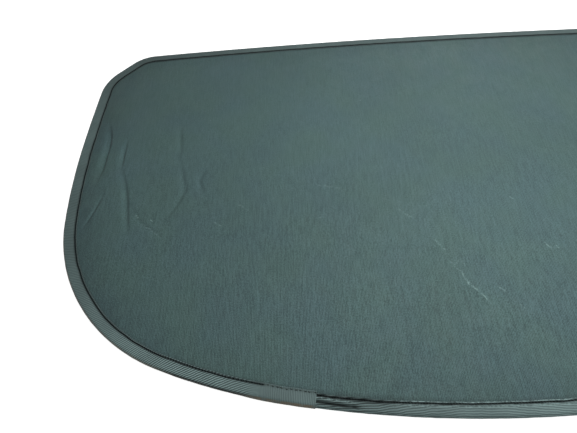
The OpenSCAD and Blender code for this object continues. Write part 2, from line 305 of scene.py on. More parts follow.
class Graph:
    """A material and its nodes, with short calls for what the finishes need."""

    def __init__(self, name: str) -> None:
        """Starts a material with one plain surface shader.

        Args:
            name: The material's name.
        """
        self.material = bpy.data.materials.new(name)
        self.material.use_nodes = True
        self.tree = self.material.node_tree
        self.tree.nodes.clear()
        self.surface = self.node("ShaderNodeBsdfPrincipled")
        self.end = self.node("ShaderNodeOutputMaterial")
        self.join(self.surface.outputs["BSDF"], self.end.inputs["Surface"])

    def node(self, kind: str, **settings: object) -> bpy.types.Node:
        """Adds a node.

        Args:
            kind: Blender's name for the kind of node.
            **settings: The node's options.

        Returns:
            The node.
        """
        made = self.tree.nodes.new(kind)
        for key, value in settings.items():
            setattr(made, key, value)
        return made

    def join(self, value: object, socket: bpy.types.NodeSocket) -> None:
        """Links an output to an input, or sets the input to a plain value.

        Args:
            value: The output or the plain value.
            socket: The input.
        """
        if isinstance(value, bpy.types.NodeSocket):
            self.tree.links.new(value, socket)
        else:
            socket.default_value = value

    def plain(self, **sockets: object) -> None:
        """Sets the surface shader's own sockets; a name's underscores stand for spaces."""
        for key, value in sockets.items():
            self.surface.inputs[key.replace("_", " ")].default_value = value

    def math(self, operation: str, *values: Socket) -> bpy.types.NodeSocket:
        """Does one step of arithmetic.

        Args:
            operation: Which step it is.
            *values: The outputs or numbers that it takes, in order.

        Returns:
            The result.
        """
        node = self.node("ShaderNodeMath", operation=operation)
        for value, socket in zip(values, node.inputs):
            self.join(value, socket)
        return node.outputs[0]

    def times(self, value: Socket, by: Socket) -> bpy.types.NodeSocket:
        """Multiplies two outputs or numbers."""
        return self.math("MULTIPLY", value, by)

    def stretch(
        self, value: Socket, low: float, high: float, to: Sequence[float] = (0, 1)
    ) -> bpy.types.NodeSocket:
        """Maps a range smoothly to another, and holds its ends beyond.

        Args:
            value: What is mapped.
            low: The start of its range.
            high: The end of its range; it may be less than low.
            to: What low and high become.

        Returns:
            The mapped value.
        """
        node = self.node("ShaderNodeMapRange", interpolation_type="SMOOTHSTEP")
        for part, socket in zip((value, low, high, *to), node.inputs):
            self.join(part, socket)
        return node.outputs[0]

    def place(self) -> bpy.types.NodeSocket:
        """Gives the point's place in the part's own frame."""
        return self.node("ShaderNodeTexCoord").outputs["Object"]

    def axes(self, vector: bpy.types.NodeSocket) -> tuple[bpy.types.NodeSocket, ...]:
        """Splits a place.

        Args:
            vector: The place.

        Returns:
            Its X, Y and Z.
        """
        node = self.node("ShaderNodeSeparateXYZ")
        self.join(vector, node.inputs["Vector"])
        return tuple(node.outputs)

    def scaled(self, vector: bpy.types.NodeSocket, by: Sequence[float]) -> bpy.types.NodeSocket:
        """Multiplies a place by one number an axis.

        Args:
            vector: The place.
            by: The three numbers.

        Returns:
            The scaled place.
        """
        node = self.node("ShaderNodeVectorMath", operation="MULTIPLY")
        self.join(vector, node.inputs[0])
        node.inputs[1].default_value = by
        return node.outputs[0]

    def held(self, name: str) -> bpy.types.NodeSocket:
        """Gives a number that the mesh's points hold."""
        return self.node("ShaderNodeAttribute", attribute_name=name).outputs["Fac"]

    def noise(self, vector: bpy.types.NodeSocket, scale: float, detail: float = 2) -> bpy.types.NodeSocket:
        """Gives a noise of about 0 to 1.

        Args:
            vector: The place.
            scale: How fine it is, in blotches a metre.
            detail: How many finer layers lie over it.

        Returns:
            The noise at the place.
        """
        node = self.node("ShaderNodeTexNoise")
        self.join(vector, node.inputs["Vector"])
        node.inputs["Scale"].default_value = scale
        node.inputs["Detail"].default_value = detail
        return node.outputs["Fac"]

    def mottled(
        self, vector: bpy.types.NodeSocket, scale: float, detail: float, to: Sequence[float] = (0, 1)
    ) -> bpy.types.NodeSocket:
        """Gives an uneven tone.

        Args:
            vector: The place.
            scale: How fine it is, in blotches a metre.
            detail: How many finer layers lie over it.
            to: The tones between which it goes.

        Returns:
            The tone at the place.
        """
        return self.stretch(self.noise(vector, scale, detail), 0.3, 0.7, to)

    def wave(self, cycles: Socket) -> bpy.types.NodeSocket:
        """Gives a wave of 0 to 1 that repeats with each whole cycle."""
        turn = self.math("SINE", self.times(cycles, 2 * math.pi))
        return self.math("MULTIPLY_ADD", turn, 0.5, 0.5)

    def mixed(self, parts: Sequence[tuple[Socket, float]]) -> bpy.types.NodeSocket:
        """Adds up outputs.

        Args:
            parts: The outputs, each with its weight.

        Returns:
            Their weighted sum.
        """
        total = self.times(*parts[0])
        for value, weight in parts[1:]:
            total = self.math("MULTIPLY_ADD", value, weight, total)
        return total

    def blend(self, share: Socket, low: object, high: object) -> bpy.types.NodeSocket:
        """Mixes two colours.

        Args:
            share: How much of the second colour there is.
            low: The first colour.
            high: The second colour.

        Returns:
            The mixed colour.
        """
        node = self.node("ShaderNodeMix", data_type="RGBA")
        self.join(share, node.inputs["Factor"])
        for value, socket in ((low, node.inputs["A"]), (high, node.inputs["B"])):
            self.join((*value, 1) if isinstance(value, tuple) else value, socket)
        return node.outputs["Result"]

    def dim(self, colour: object, share: Socket) -> bpy.types.NodeSocket:
        """Multiplies a colour by a number.

        Args:
            colour: The colour.
            share: The number.

        Returns:
            The product.
        """
        node = self.node("ShaderNodeVectorMath", operation="SCALE")
        self.join(colour, node.inputs[0])
        self.join(share, node.inputs["Scale"])
        return node.outputs[0]

    def relief(self, height: Socket, depth: float) -> None:
        """Bumps the surface.

        Args:
            height: The height at each point, of about 0 to 1.
            depth: What a height of 1 stands for, in metres.
        """
        node = self.node("ShaderNodeBump")
        node.inputs["Strength"].default_value = 1.0
        node.inputs["Distance"].default_value = depth
        self.join(height, node.inputs["Height"])
        self.join(node.outputs["Normal"], self.surface.inputs["Normal"])

    def paint(self, colour: object, roughness: object) -> bpy.types.Material:
        """Sets the surface's colour and roughness.

        Args:
            colour: The colour.
            roughness: The roughness.

        Returns:
            The finished material.
        """
        self.join((*colour, 1) if isinstance(colour, tuple) else colour, self.surface.inputs["Base Color"])
        self.join(roughness, self.surface.inputs["Roughness"])
        return self.material


@dataclass(frozen=True)
class Scuff:
    """A pale rubbed mark on the sheet.

    Attributes:
        start: One end, in metres on the sheet.
        end: The other end.
        width: How wide it is.
        strength: How pale it is, from 0 to 1.
    """

    start: tuple[float, float]
    end: tuple[float, float]
    width: float
    strength: float

    def share(self, graph: Graph, place: bpy.types.NodeSocket) -> bpy.types.NodeSocket:
        """Gives how strongly the mark covers each point.

        Args:
            graph: The material that shows it.
            place: The point's place.

        Returns:
            A socket of 0 to strength.
        """
        run = Vector(self.end) - Vector(self.start)
        middle = (Vector(self.end) + Vector(self.start)) / 2
        local = graph.node("ShaderNodeMapping", vector_type="TEXTURE")
        graph.join(place, local.inputs["Vector"])
        local.inputs["Location"].default_value = (*middle, 0)
        local.inputs["Rotation"].default_value = (0, 0, math.atan2(run.y, run.x))
        local.inputs["Scale"].default_value = (run.length / 2, self.width / 2, 1)
        x, y, _ = graph.axes(local.outputs["Vector"])
        ends = graph.stretch(graph.math("ABSOLUTE", x), 1.15, 0.75)
        sides = graph.stretch(graph.math("ABSOLUTE", y), 1.2, 0.2)
        return graph.times(graph.times(ends, sides), self.strength)


@dataclass(frozen=True)
class RibbedCloth:
    """Coated cloth whose ribs run front to back, with cross yarns, dust and rubbed marks.

    Attributes:
        name: The material's name.
        colour: Colour of the ribs' crowns.
        pitch: Distance between ribs.
        yarn: Distance between cross yarns.
        depth: Height of the ribs.
        even: Tone of the cloth where its ribs don't show.
        calmer: Where along Y the ribs start to fade and where they have, towards the front.
        stray: How far the rubbed marks stray from straight.
        scuffs: The rubbed marks.
    """

    name: str = "ribbed_cloth"
    colour: Colour = (0.0675, 0.1225, 0.1165)
    pitch: float = 1.76 * MM
    yarn: float = 1.15 * MM
    depth: float = 0.3 * MM
    even: float = 0.92
    calmer: tuple[float, float] = (-0.26, 0.22)
    stray: float = 4 * MM
    scuffs: tuple[Scuff, ...] = ()

    def make(self) -> bpy.types.Material:
        """Builds the material.

        Returns:
            The finished material.
        """
        g = Graph(self.name)
        place = g.place()
        x, y, _ = g.axes(place)
        sway = g.times(g.noise(place, 9), 1.1 * MM)
        across = g.math("DIVIDE", g.math("ADD", x, sway), self.pitch)
        stagger = g.times(g.math("ROUND", across), 0.37)
        yarn = g.wave(g.math("ADD", g.math("DIVIDE", y, self.yarn), stagger))
        fibre = g.noise(g.scaled(place, (1, 0.6, 1)), 1000, 2)
        streak = g.noise(g.scaled(place, (1, 0.09, 1)), 620, 2)
        height = g.mixed(((g.wave(across), 0.36), (yarn, 0.10), (fibre, 1.25), (streak, 0.7)))
        cloud = g.mottled(place, 5, 3, (0.95, 1.05))
        calm = g.stretch(y, *self.calmer, (1.3, 0.5))
        # Painted shade in the grooves of ribs, yarns and fibres, and painted highlight on their crowns: the
        # tone follows their height.
        ribbed = g.math("SUBTRACT", g.stretch(height, 0.66, 1.70, (0.55, 1.27)), self.even)
        tone = g.times(g.math("MULTIPLY_ADD", ribbed, calm, self.even), cloud)
        # Painted shade held by the mesh: near the binding, towards the left side and along the creases.
        tone = g.times(tone, g.math("SUBTRACT", 1.0, g.held("shade")))
        hue = g.mottled(place, 13, 2)
        g.relief(g.times(height, calm), self.depth)
        rough = g.mottled(place, 60, 3, (0.52, 0.62))
        g.plain(Specular_IOR_Level=0.2)
        colour = g.dim(g.blend(hue, self.colour, self._bluer()), tone)
        return g.paint(self._rubbed(g, place, colour, fibre), rough)

    def _bluer(self) -> Colour:
        """Gives the colour of the sheet where the coating is a little bluer."""
        red, green, blue = self.colour
        return (red * 0.98, green * 0.97, blue * 1.06)

    def _rubbed(self, g: Graph, place: bpy.types.NodeSocket, colour: object, grain: Socket) -> object:
        """Lays the rubbed marks and specks of dust over a colour.

        Args:
            g: The material.
            place: The point's place.
            colour: The colour underneath.
            grain: The grain that breaks the marks up.

        Returns:
            The colour with its marks.
        """
        broken = g.stretch(g.noise(place, 420, 3), 0.40, 0.58)
        bend = g.node("ShaderNodeTexNoise")
        bend.inputs["Scale"].default_value = 120
        g.join(place, bend.inputs["Vector"])
        wander = g.node("ShaderNodeVectorMath", operation="MULTIPLY_ADD")
        g.join(bend.outputs["Color"], wander.inputs[0])
        wander.inputs[1].default_value = (self.stray, self.stray, 0)
        g.join(place, wander.inputs[2])
        centred = g.node("ShaderNodeVectorMath", operation="SUBTRACT")
        g.join(wander.outputs[0], centred.inputs[0])
        centred.inputs[1].default_value = (self.stray / 2, self.stray / 2, 0)
        shares = [scuff.share(g, centred.outputs[0]) for scuff in self.scuffs]
        total = shares[0] if shares else 0.0
        for share in shares[1:]:
            total = g.math("MAXIMUM", total, share)
        specks = g.stretch(g.noise(place, 330, 1), 0.765, 0.80, (0, 0.30))
        marks = g.math("MAXIMUM", g.times(total, broken), specks)
        pale = tuple(1.9 * c + 0.055 for c in self.colour)
        return g.blend(g.times(marks, g.stretch(grain, 0.3, 0.6, (0.4, 1))), colour, pale)


@dataclass(frozen=True)
class BackingCloth:
    """The plain woven back of the coated cloth.

    Attributes:
        name: The material's name.
        colour: Colour of the yarns.
        pitch: Distance between yarns.
    """

    name: str = "backing_cloth"
    colour: Colour = (0.050, 0.066, 0.064)
    pitch: float = 0.9 * MM

    def make(self) -> bpy.types.Material:
        """Builds the material.

        Returns:
            The finished material.
        """
        g = Graph(self.name)
        place = g.place()
        x, y, _ = g.axes(place)
        column = g.math("DIVIDE", x, self.pitch)
        row = g.math("DIVIDE", y, self.pitch)
        warp = g.wave(g.math("ADD", row, g.times(g.math("ROUND", column), 0.5)))
        weft = g.times(g.wave(column), warp)
        height = g.math("ADD", weft, g.times(g.noise(place, 1500, 2), 0.4))
        g.relief(height, 0.1 * MM)
        g.plain(Specular_IOR_Level=0.2, Sheen_Weight=0.08)
        cloud = g.mottled(place, 24, 2, (0.95, 1.04))
        # Painted shade between the yarns and painted highlight on them: the tone follows their height.
        tone = g.times(g.stretch(height, 0, 1.2, (0.6, 1.15)), cloud)
        return g.paint(g.dim(self.colour, tone), g.stretch(height, 0, 1, (0.85, 0.7)))


@dataclass(frozen=True)
class BiasCloth:
    """The binding's cloth, whose ribs lie aslant.

    The mesh holds rib, which counts ribs, bold, which says how strongly they show, shade for painted shade
    with the strip's painted light along its length, a number for painted highlights, and dust for sand.

    Attributes:
        name: The material's name.
        colour: Colour of the cloth between crown and groove.
        dust: Colour of the sand that sticks to the edge.
        even: Tone of the cloth where its ribs don't show.
        depth: Height of the ribs.
    """

    name: str = "bias_cloth"
    colour: Colour = (0.136, 0.195, 0.192)
    dust: Colour = (0.165, 0.125, 0.080)
    even: float = 0.84
    depth: float = 0.42 * MM

    def make(self) -> bpy.types.Material:
        """Builds the material.

        Returns:
            The finished material.
        """
        g = Graph(self.name)
        place = g.place()
        rib = g.wave(g.math("ADD", g.held("rib"), g.times(g.noise(place, 70), 1.1)))
        height = g.mixed(((rib, 0.75), (g.noise(place, 1100, 3), 0.5)))
        bold = g.held("bold")
        # Painted shade in the rib grooves and painted highlight on their crowns: the tone follows the ribs'
        # height, as strongly as bold says.
        ribbed = g.stretch(height, 0.2, 1.05, (0.42, 1.30))
        tone = g.math("MULTIPLY_ADD", g.math("SUBTRACT", ribbed, self.even), bold, self.even)
        tone = g.times(tone, g.mottled(place, 30, 3, (0.92, 1.07)))
        # Painted shade held by the mesh, with the strip's painted light and shade along its length.
        tone = g.times(tone, g.math("SUBTRACT", 1.0, g.held("shade")))
        # Painted highlights held by the mesh blend towards a pale copy of the colour.
        worn = g.times(g.held("worn"), g.stretch(g.noise(place, 380, 3), 0.42, 0.60))
        patchy = g.stretch(g.noise(place, 120, 3), 0.3, 0.55, (0.3, 1))
        dusty = g.times(g.held("dust"), patchy)
        colour = g.blend(worn, g.dim(self.colour, tone), tuple(2.4 * c for c in self.colour))
        g.relief(g.times(height, bold), self.depth)
        g.plain(Specular_IOR_Level=0.12)
        rough = g.mottled(place, 90, 2, (0.50, 0.62))
        return g.paint(g.blend(dusty, colour, self.dust), rough)


@dataclass(frozen=True)
class TwistedThread:
    """Sewing thread of three twisted plies. The mesh holds ply, which counts turns of the twist.

    Attributes:
        name: The material's name.
        colour: Colour of the thread.
        shine: Roughness of the thread.
    """

    name: str
    colour: Colour
    shine: float = 0.5

    def make(self) -> bpy.types.Material:
        """Builds the material.

        Returns:
            The finished material.
        """
        g = Graph(self.name)
        strand = g.wave(g.held("ply"))
        fibre = g.noise(g.place(), 2500, 2)
        height = g.math("ADD", strand, g.times(fibre, 0.3))
        g.relief(height, 0.09 * MM)
        g.plain(Specular_IOR_Level=0.08)
        # Painted shade between the plies and painted highlight on them: the tone follows their height.
        return g.paint(g.dim(self.colour, g.stretch(height, 0, 1.2, (0.55, 1.25))), self.shine)


@dataclass(frozen=True)
class Webbing:
    """Woven strap. The mesh holds run and side, in metres along and across the strap.

    Attributes:
        name: The material's name.
        colour: Colour of the yarn.
        pick: Distance between the crossing yarns.
        chevron: Width of one chevron of the weave.
    """

    name: str = "webbing_cloth"
    colour: Colour = (0.024, 0.030, 0.031)
    pick: float = 1.0 * MM
    chevron: float = 5.0 * MM

    def make(self) -> bpy.types.Material:
        """Builds the material.

        Returns:
            The finished material.
        """
        g = Graph(self.name)
        side = g.held("side")
        slant = g.math("PINGPONG", side, self.chevron / 2)
        cycles = g.math("DIVIDE", g.math("ADD", g.held("run"), slant), self.pick)
        pick = g.wave(cycles)
        end = g.wave(g.math("DIVIDE", side, 0.8 * MM))
        fibre = g.noise(g.place(), 2200, 2)
        fine = g.math("ADD", g.times(end, 0.2), g.times(fibre, 0.2))
        height = g.math("ADD", g.times(pick, 0.6), fine)
        g.relief(height, 0.22 * MM)
        g.plain(Specular_IOR_Level=0.25, Sheen_Weight=0.15)
        rough = g.stretch(pick, 0, 1, (0.8, 0.6))
        # Painted shade between the picks and painted highlight on them: the tone follows the weave's height.
        return g.paint(g.dim(self.colour, g.stretch(height, 0.1, 0.9, (0.5, 1.5))), rough)


@dataclass(frozen=True)
class CoatedPatch:
    """Smooth coated cloth of the reinforcing patches, with a faint cast grain.

    Attributes:
        name: The material's name.
        colour: Colour of the coating.
    """

    name: str = "patch_coating"
    colour: Colour = (0.045, 0.062, 0.060)

    def make(self) -> bpy.types.Material:
        """Builds the material.

        Returns:
            The finished material.
        """
        g = Graph(self.name)
        place = g.place()
        grain = g.node("ShaderNodeTexVoronoi", feature="SMOOTH_F1")
        g.join(place, grain.inputs["Vector"])
        grain.inputs["Scale"].default_value = 1300
        height = g.math("ADD", grain.outputs["Distance"], g.times(g.noise(place, 300, 3), 0.5))
        g.relief(height, 0.06 * MM)
        g.plain(Specular_IOR_Level=0.35)
        rough = g.stretch(height, 0, 1, (0.45, 0.6))
        return g.paint(g.dim(self.colour, g.stretch(height, 0.1, 0.9, (0.85, 1.15))), rough)


@dataclass(frozen=True)
class MouldedPlastic:
    """Black acetal with a spark-eroded grain and fine scratches.

    Attributes:
        name: The material's name.
        colour: Colour of the plastic.
        rubbed: Colour of the scratches.
    """

    name: str = "hook_moulding"
    colour: Colour = (0.014, 0.017, 0.018)
    rubbed: Colour = (0.050, 0.054, 0.055)

    def make(self) -> bpy.types.Material:
        """Builds the material.

        Returns:
            The finished material.
        """
        g = Graph(self.name)
        place = g.place()
        grain = g.noise(place, 3200, 3)
        scratches = g.stretch(g.noise(g.scaled(place, (1, 0.12, 0.5)), 1400, 2), 0.60, 0.72, (0, 0.35))
        tone = g.dim(self.colour, g.mottled(place, 300, 3, (0.92, 1.08)))
        g.relief(grain, 0.03 * MM)
        g.plain(Specular_IOR_Level=0.38)
        return g.paint(g.blend(scratches, tone, self.rubbed), g.stretch(grain, 0.3, 0.7, (0.36, 0.5)))


@dataclass(frozen=True)
class Metal:
    """Plain metal with fine drawn or rolled lines.

    Attributes:
        name: The material's name.
        colour: Colour of the metal.
        roughness: Its mean roughness.
        lines: How much finer the marks are along each axis.
    """

    name: str
    colour: Colour
    roughness: float = 0.32
    lines: tuple[float, float, float] = (1, 1, 0.15)

    def make(self) -> bpy.types.Material:
        """Builds the material.

        Returns:
            The finished material.
        """
        g = Graph(self.name)
        place = g.place()
        mark = g.noise(g.scaled(place, self.lines), 2600, 3)
        stain = g.noise(place, 140, 3)
        g.relief(mark, 0.02 * MM)
        g.plain(Metallic=1.0)
        drawn = g.stretch(mark, 0.3, 0.7, (0.88, 1.06))
        tone = g.times(drawn, g.stretch(stain, 0.3, 0.7, (0.9, 1.05)))
        spread = (self.roughness - 0.07, self.roughness + 0.08)
        return g.paint(g.dim(self.colour, tone), g.stretch(stain, 0.3, 0.7, spread))


# ---- The outline that everything follows ----


@dataclass(frozen=True)
class Run:
    """One stretch of the edge: an arc, or a straight where the radius is 0.

    Attributes:
        radius: Radius of the arc.
        turn: How far the edge turns along it, in degrees.
        length: Length of a straight.
    """

    radius: float
    turn: float
    length: float = 0.0

    @property
    def travel(self) -> float:
        """Length of the edge along this run."""
        return self.length + self.radius * math.radians(self.turn)


@dataclass
class Outline:
    """The cover's edge, as runs from the middle of the rear edge round the right side.

    The left side mirrors the right one.

    Attributes:
        rear: Middle stretch of the rear edge.
        rear_quarter: Between the middle stretch and the rear corner.
        rear_corner: The large rear corner.
        side_rear: Rear half of the side.
        side_front: Front half of the side.
        corner_side: Side end of the front corner.
        corner_flat: Length of the cut across the front corner.
        corner_front_r: Radius at the front end of the front corner.
        front_turn: How far each half of the front edge turns, in degrees.
    """

    rear: Run = Run(1455 * MM, 9.6)
    rear_quarter: Run = Run(768 * MM, 11.4)
    rear_corner: Run = Run(255 * MM, 62.4)
    side_rear: Run = Run(1083 * MM, 7.4)
    side_front: Run = Run(3067 * MM, 2.3)
    corner_side: Run = Run(72 * MM, 40.7)
    corner_flat: float = 34 * MM
    corner_front_r: float = 60 * MM
    front_turn: float = 3.0

    def __post_init__(self) -> None:
        """Works out where each run starts, and the overall depth."""
        shaped = [self.rear, self.rear_quarter, self.rear_corner]
        shaped += [self.side_rear, self.side_front, self.corner_side]
        rest = 180 - sum(run.turn for run in shaped) - self.front_turn
        shaped += [Run(0.0, 0.0, self.corner_flat), Run(self.corner_front_r, rest)]
        states = [(0.0, 0.0, 0.0)]
        for run in shaped:
            states.append(self._after(states[-1], run))
        front = Run(states[-1][0] / math.sin(math.radians(self.front_turn)), self.front_turn)
        self.depth = self._after(states[-1], front)[1]
        self.runs = [*shaped, front]
        self.starts = np.array([(x, y - self.depth / 2, heading) for x, y, heading in states])
        self.marks = np.cumsum([0.0] + [run.travel for run in self.runs])
        self.half = float(self.marks[-1])
        self.perimeter = 2 * self.half

    @staticmethod
    def _after(state: tuple[float, float, float], run: Run) -> tuple[float, float, float]:
        """Follows the edge along one run.

        Args:
            state: The place and heading, in radians, at the run's start.
            run: The run.

        Returns:
            The place and heading at its end.
        """
        x, y, heading = state
        ahead = heading + math.radians(run.turn)
        x += run.radius * (math.sin(ahead) - math.sin(heading)) + run.length * math.cos(heading)
        y += run.radius * (math.cos(heading) - math.cos(ahead)) + run.length * math.sin(heading)
        return x, y, ahead

    def places(self, distance: np.ndarray) -> tuple[np.ndarray, np.ndarray]:
        """Finds points on the edge.

        Args:
            distance: Distances from the middle of the rear edge, anticlockwise seen from above.

        Returns:
            The points and the unit vectors that point in from the edge, one row each.
        """
        around = np.mod(np.asarray(distance, float), self.perimeter)
        left = around > self.half
        ahead = np.where(left, self.perimeter - around, around)
        index = np.clip(np.searchsorted(self.marks, ahead, side="right") - 1, 0, len(self.runs) - 1)
        radius = np.array([run.radius for run in self.runs])[index]
        x, y, heading = self.starts[index].T
        travelled = ahead - self.marks[index]
        curved = radius > 0
        turned = heading + np.where(curved, travelled / np.where(curved, radius, 1.0), 0.0)
        straight = np.where(curved, 0.0, travelled)
        x = x + radius * (np.sin(turned) - np.sin(heading)) + straight * np.cos(heading)
        y = y + radius * (np.cos(heading) - np.cos(turned)) + straight * np.sin(heading)
        side = np.where(left, -1.0, 1.0)
        return np.stack([side * x, y], -1), np.stack([-side * np.sin(turned), np.cos(turned)], -1)

    def rear_distance(self, x: float) -> float:
        """Gives the distance along the edge at a place on the middle stretch of the rear edge.

        Args:
            x: Place along X; it is negative on the left.

        Returns:
            The distance, which is negative on the left.
        """
        return math.copysign(self.rear.radius * math.asin(abs(x) / self.rear.radius), x)

    def check(self, node: str) -> None:
        """Compares the outline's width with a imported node's.

        Args:
            node: The node's name.

        Raises:
            ValueError: If they are not the same.
        """
        packed_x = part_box(node)[1].x
        points, _ = self.places(np.linspace(0, self.half, 2000))
        gap = abs(float(points[:, 0].max()) - packed_x)
        if gap > OUTLINE_PLAY:
            raise ValueError(f"the outline is {gap / MM:.2f} mm away from {node}")


@dataclass(frozen=True)
class Levels:
    """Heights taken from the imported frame.

    Attributes:
        sheet_low: Underside of the sheet.
        sheet_high: Top of the sheet.
        binding_high: Top of the binding.
        lap_high: Top of the lap.
        patch_low: Underside of the corner patches.
    """

    sheet_low: float
    sheet_high: float
    binding_high: float
    lap_high: float
    patch_low: float

    @classmethod
    def of_frame(cls) -> "Levels":
        """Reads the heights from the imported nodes.

        Returns:
            The heights.
        """
        sheet_low, sheet_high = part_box("cover_sheet")
        return cls(
            sheet_low=sheet_low.z,
            sheet_high=sheet_high.z,
            binding_high=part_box("needle_thread")[0].z,
            lap_high=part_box("edge_binding")[1].z,
            patch_low=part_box("corner_patches")[0].z,
        )


# ---- Sheet ----


@dataclass(frozen=True)
class Crease:
    """A furrow pressed into the sheet, with one soft and one sharp side.

    Attributes:
        line: The points that it passes through, in millimetres on the sheet.
        depth: How deep it is, in millimetres.
        soft: Width of its soft side, on the left of the line's direction, in millimetres.
        sharp: Width of its sharp side, in millimetres.
    """

    line: tuple[tuple[float, float], ...]
    depth: float
    soft: float
    sharp: float

    def sink(self, x: np.ndarray, y: np.ndarray) -> np.ndarray:
        """Gives how far the furrow lowers the sheet.

        Args:
            x: Places along X, in metres.
            y: Places along Y, in metres.

        Returns:
            The drop at each place, in metres.
        """
        off, taper = self._near(x, y)
        reach = np.where(off > 0, self.soft, self.sharp) * MM
        return self.depth * MM * np.exp(-((off / reach) ** 2)) * taper

    def painted_shading(self, x: np.ndarray, y: np.ndarray) -> np.ndarray:
        """Gives the painted shade on the sharp side; it is negative where the soft side is lightened as a
        painted highlight.

        Args:
            x: Places along X, in metres.
            y: Places along Y, in metres.

        Returns:
            The darkening at each place, as a share of the colour.
        """
        off, taper = self._near(x, y)
        painted_crease_shade = 0.34 * bell(off, -0.6 * self.sharp * MM, 0.85 * self.sharp * MM)
        # pale is a painted highlight on the soft side.
        pale = 0.17 * bell(off, 0.55 * self.soft * MM, 0.5 * self.soft * MM)
        return self.depth**0.5 * (painted_crease_shade - pale) * taper

    def _near(self, x: np.ndarray, y: np.ndarray) -> tuple[np.ndarray, np.ndarray]:
        """Finds how places lie beside the line.

        Args:
            x: Places along X, in metres.
            y: Places along Y, in metres.

        Returns:
            The distance of each, positive on the left of the line, and how the furrow tapers there.
        """
        knots = np.array(self.line) * MM
        spans = np.linalg.norm(np.diff(knots, axis=0), axis=1)
        total = spans.sum()
        best = np.full(x.shape, np.inf)
        off, part = np.zeros(x.shape), np.zeros(x.shape)
        for k, span in enumerate(spans):
            way = (knots[k + 1] - knots[k]) / span
            dx, dy = x - knots[k][0], y - knots[k][1]
            passed = np.clip(dx * way[0] + dy * way[1], 0, span)
            rx, ry = dx - passed * way[0], dy - passed * way[1]
            away = np.hypot(rx, ry)
            nearer = away < best
            best = np.where(nearer, away, best)
            off = np.where(nearer, np.copysign(away, way[0] * ry - way[1] * rx), off)
            part = np.where(nearer, (spans[:k].sum() + passed) / total, part)
        return off, np.sin(np.pi * np.clip(part, 0.04, 0.96)) ** 0.7


LEFT_CREASES = (
    Crease(((-519, 24), (-516, 45), (-516, 67), (-515, 88), (-516, 108), (-521, 129)), 4.4, 11, 1.9),
    Crease(((-487, 44), (-488, 69), (-487, 97)), 2.8, 8, 1.7),
    Crease(((-521, -60), (-511, -28), (-505, -6)), 2.2, 4, 1.6),
    Crease(((-455, -75), (-462, -43), (-467, -17), (-474, 11), (-485, 40)), 1.5, 9, 2.2),
    Crease(((-400, 54), (-398, 74), (-404, 127)), 0.6, 9, 2.6),
    Crease(((-406, -54), (-392, -29), (-382, -3), (-396, 50)), 0.8, 8, 2.4),
    Crease(((-354, -14), (-363, 14), (-357, 32)), 0.8, 7, 2.4),
    Crease(((-409, -81), (-440, -57), (-459, -27)), 0.4, 6, 3.0),
)
SHEET_SCUFFS = (
    Scuff((-0.027, -0.133), (-0.016, -0.149), 3.0 * MM, 0.45),
    Scuff((-0.017, -0.146), (-0.011, -0.163), 3.2 * MM, 0.75),
    Scuff((-0.012, -0.162), (-0.001, -0.173), 4.4 * MM, 0.95),
    Scuff((-0.003, -0.170), (0.010, -0.191), 3.2 * MM, 0.85),
    Scuff((-0.016, -0.134), (-0.027, -0.141), 3.0 * MM, 0.5),
    Scuff((-0.014, -0.132), (-0.008, -0.141), 2.6 * MM, 0.5),
    Scuff((-0.080, -0.051), (-0.063, -0.066), 3.6 * MM, 0.5),
    Scuff((-0.040, -0.100), (-0.028, -0.119), 3.4 * MM, 0.45),
    Scuff((0.098, -0.112), (0.105, -0.120), 3.0 * MM, 0.8),
    Scuff((0.111, -0.116), (0.114, -0.121), 2.6 * MM, 0.8),
    Scuff((0.025, -0.170), (0.031, -0.177), 3.0 * MM, 0.6),
    Scuff((0.044, -0.193), (0.047, -0.199), 2.6 * MM, 0.6),
    Scuff((-0.190, -0.003), (-0.156, -0.011), 3.8 * MM, 0.24),
    Scuff((-0.305, -0.031), (-0.286, -0.044), 3.2 * MM, 0.25),
    Scuff((-0.449, -0.043), (-0.445, -0.048), 3.0 * MM, 1.0),
    Scuff((-0.427, -0.052), (-0.423, -0.055), 3.0 * MM, 0.8),
    Scuff((-0.453, -0.026), (-0.449, -0.031), 2.6 * MM, 0.7),
    Scuff((-0.440, -0.057), (-0.409, -0.081), 2.6 * MM, 0.35),
    Scuff((-0.338, -0.059), (-0.324, -0.068), 3.0 * MM, 0.4),
    Scuff((0.074, -0.037), (0.078, -0.043), 2.8 * MM, 0.6),
)


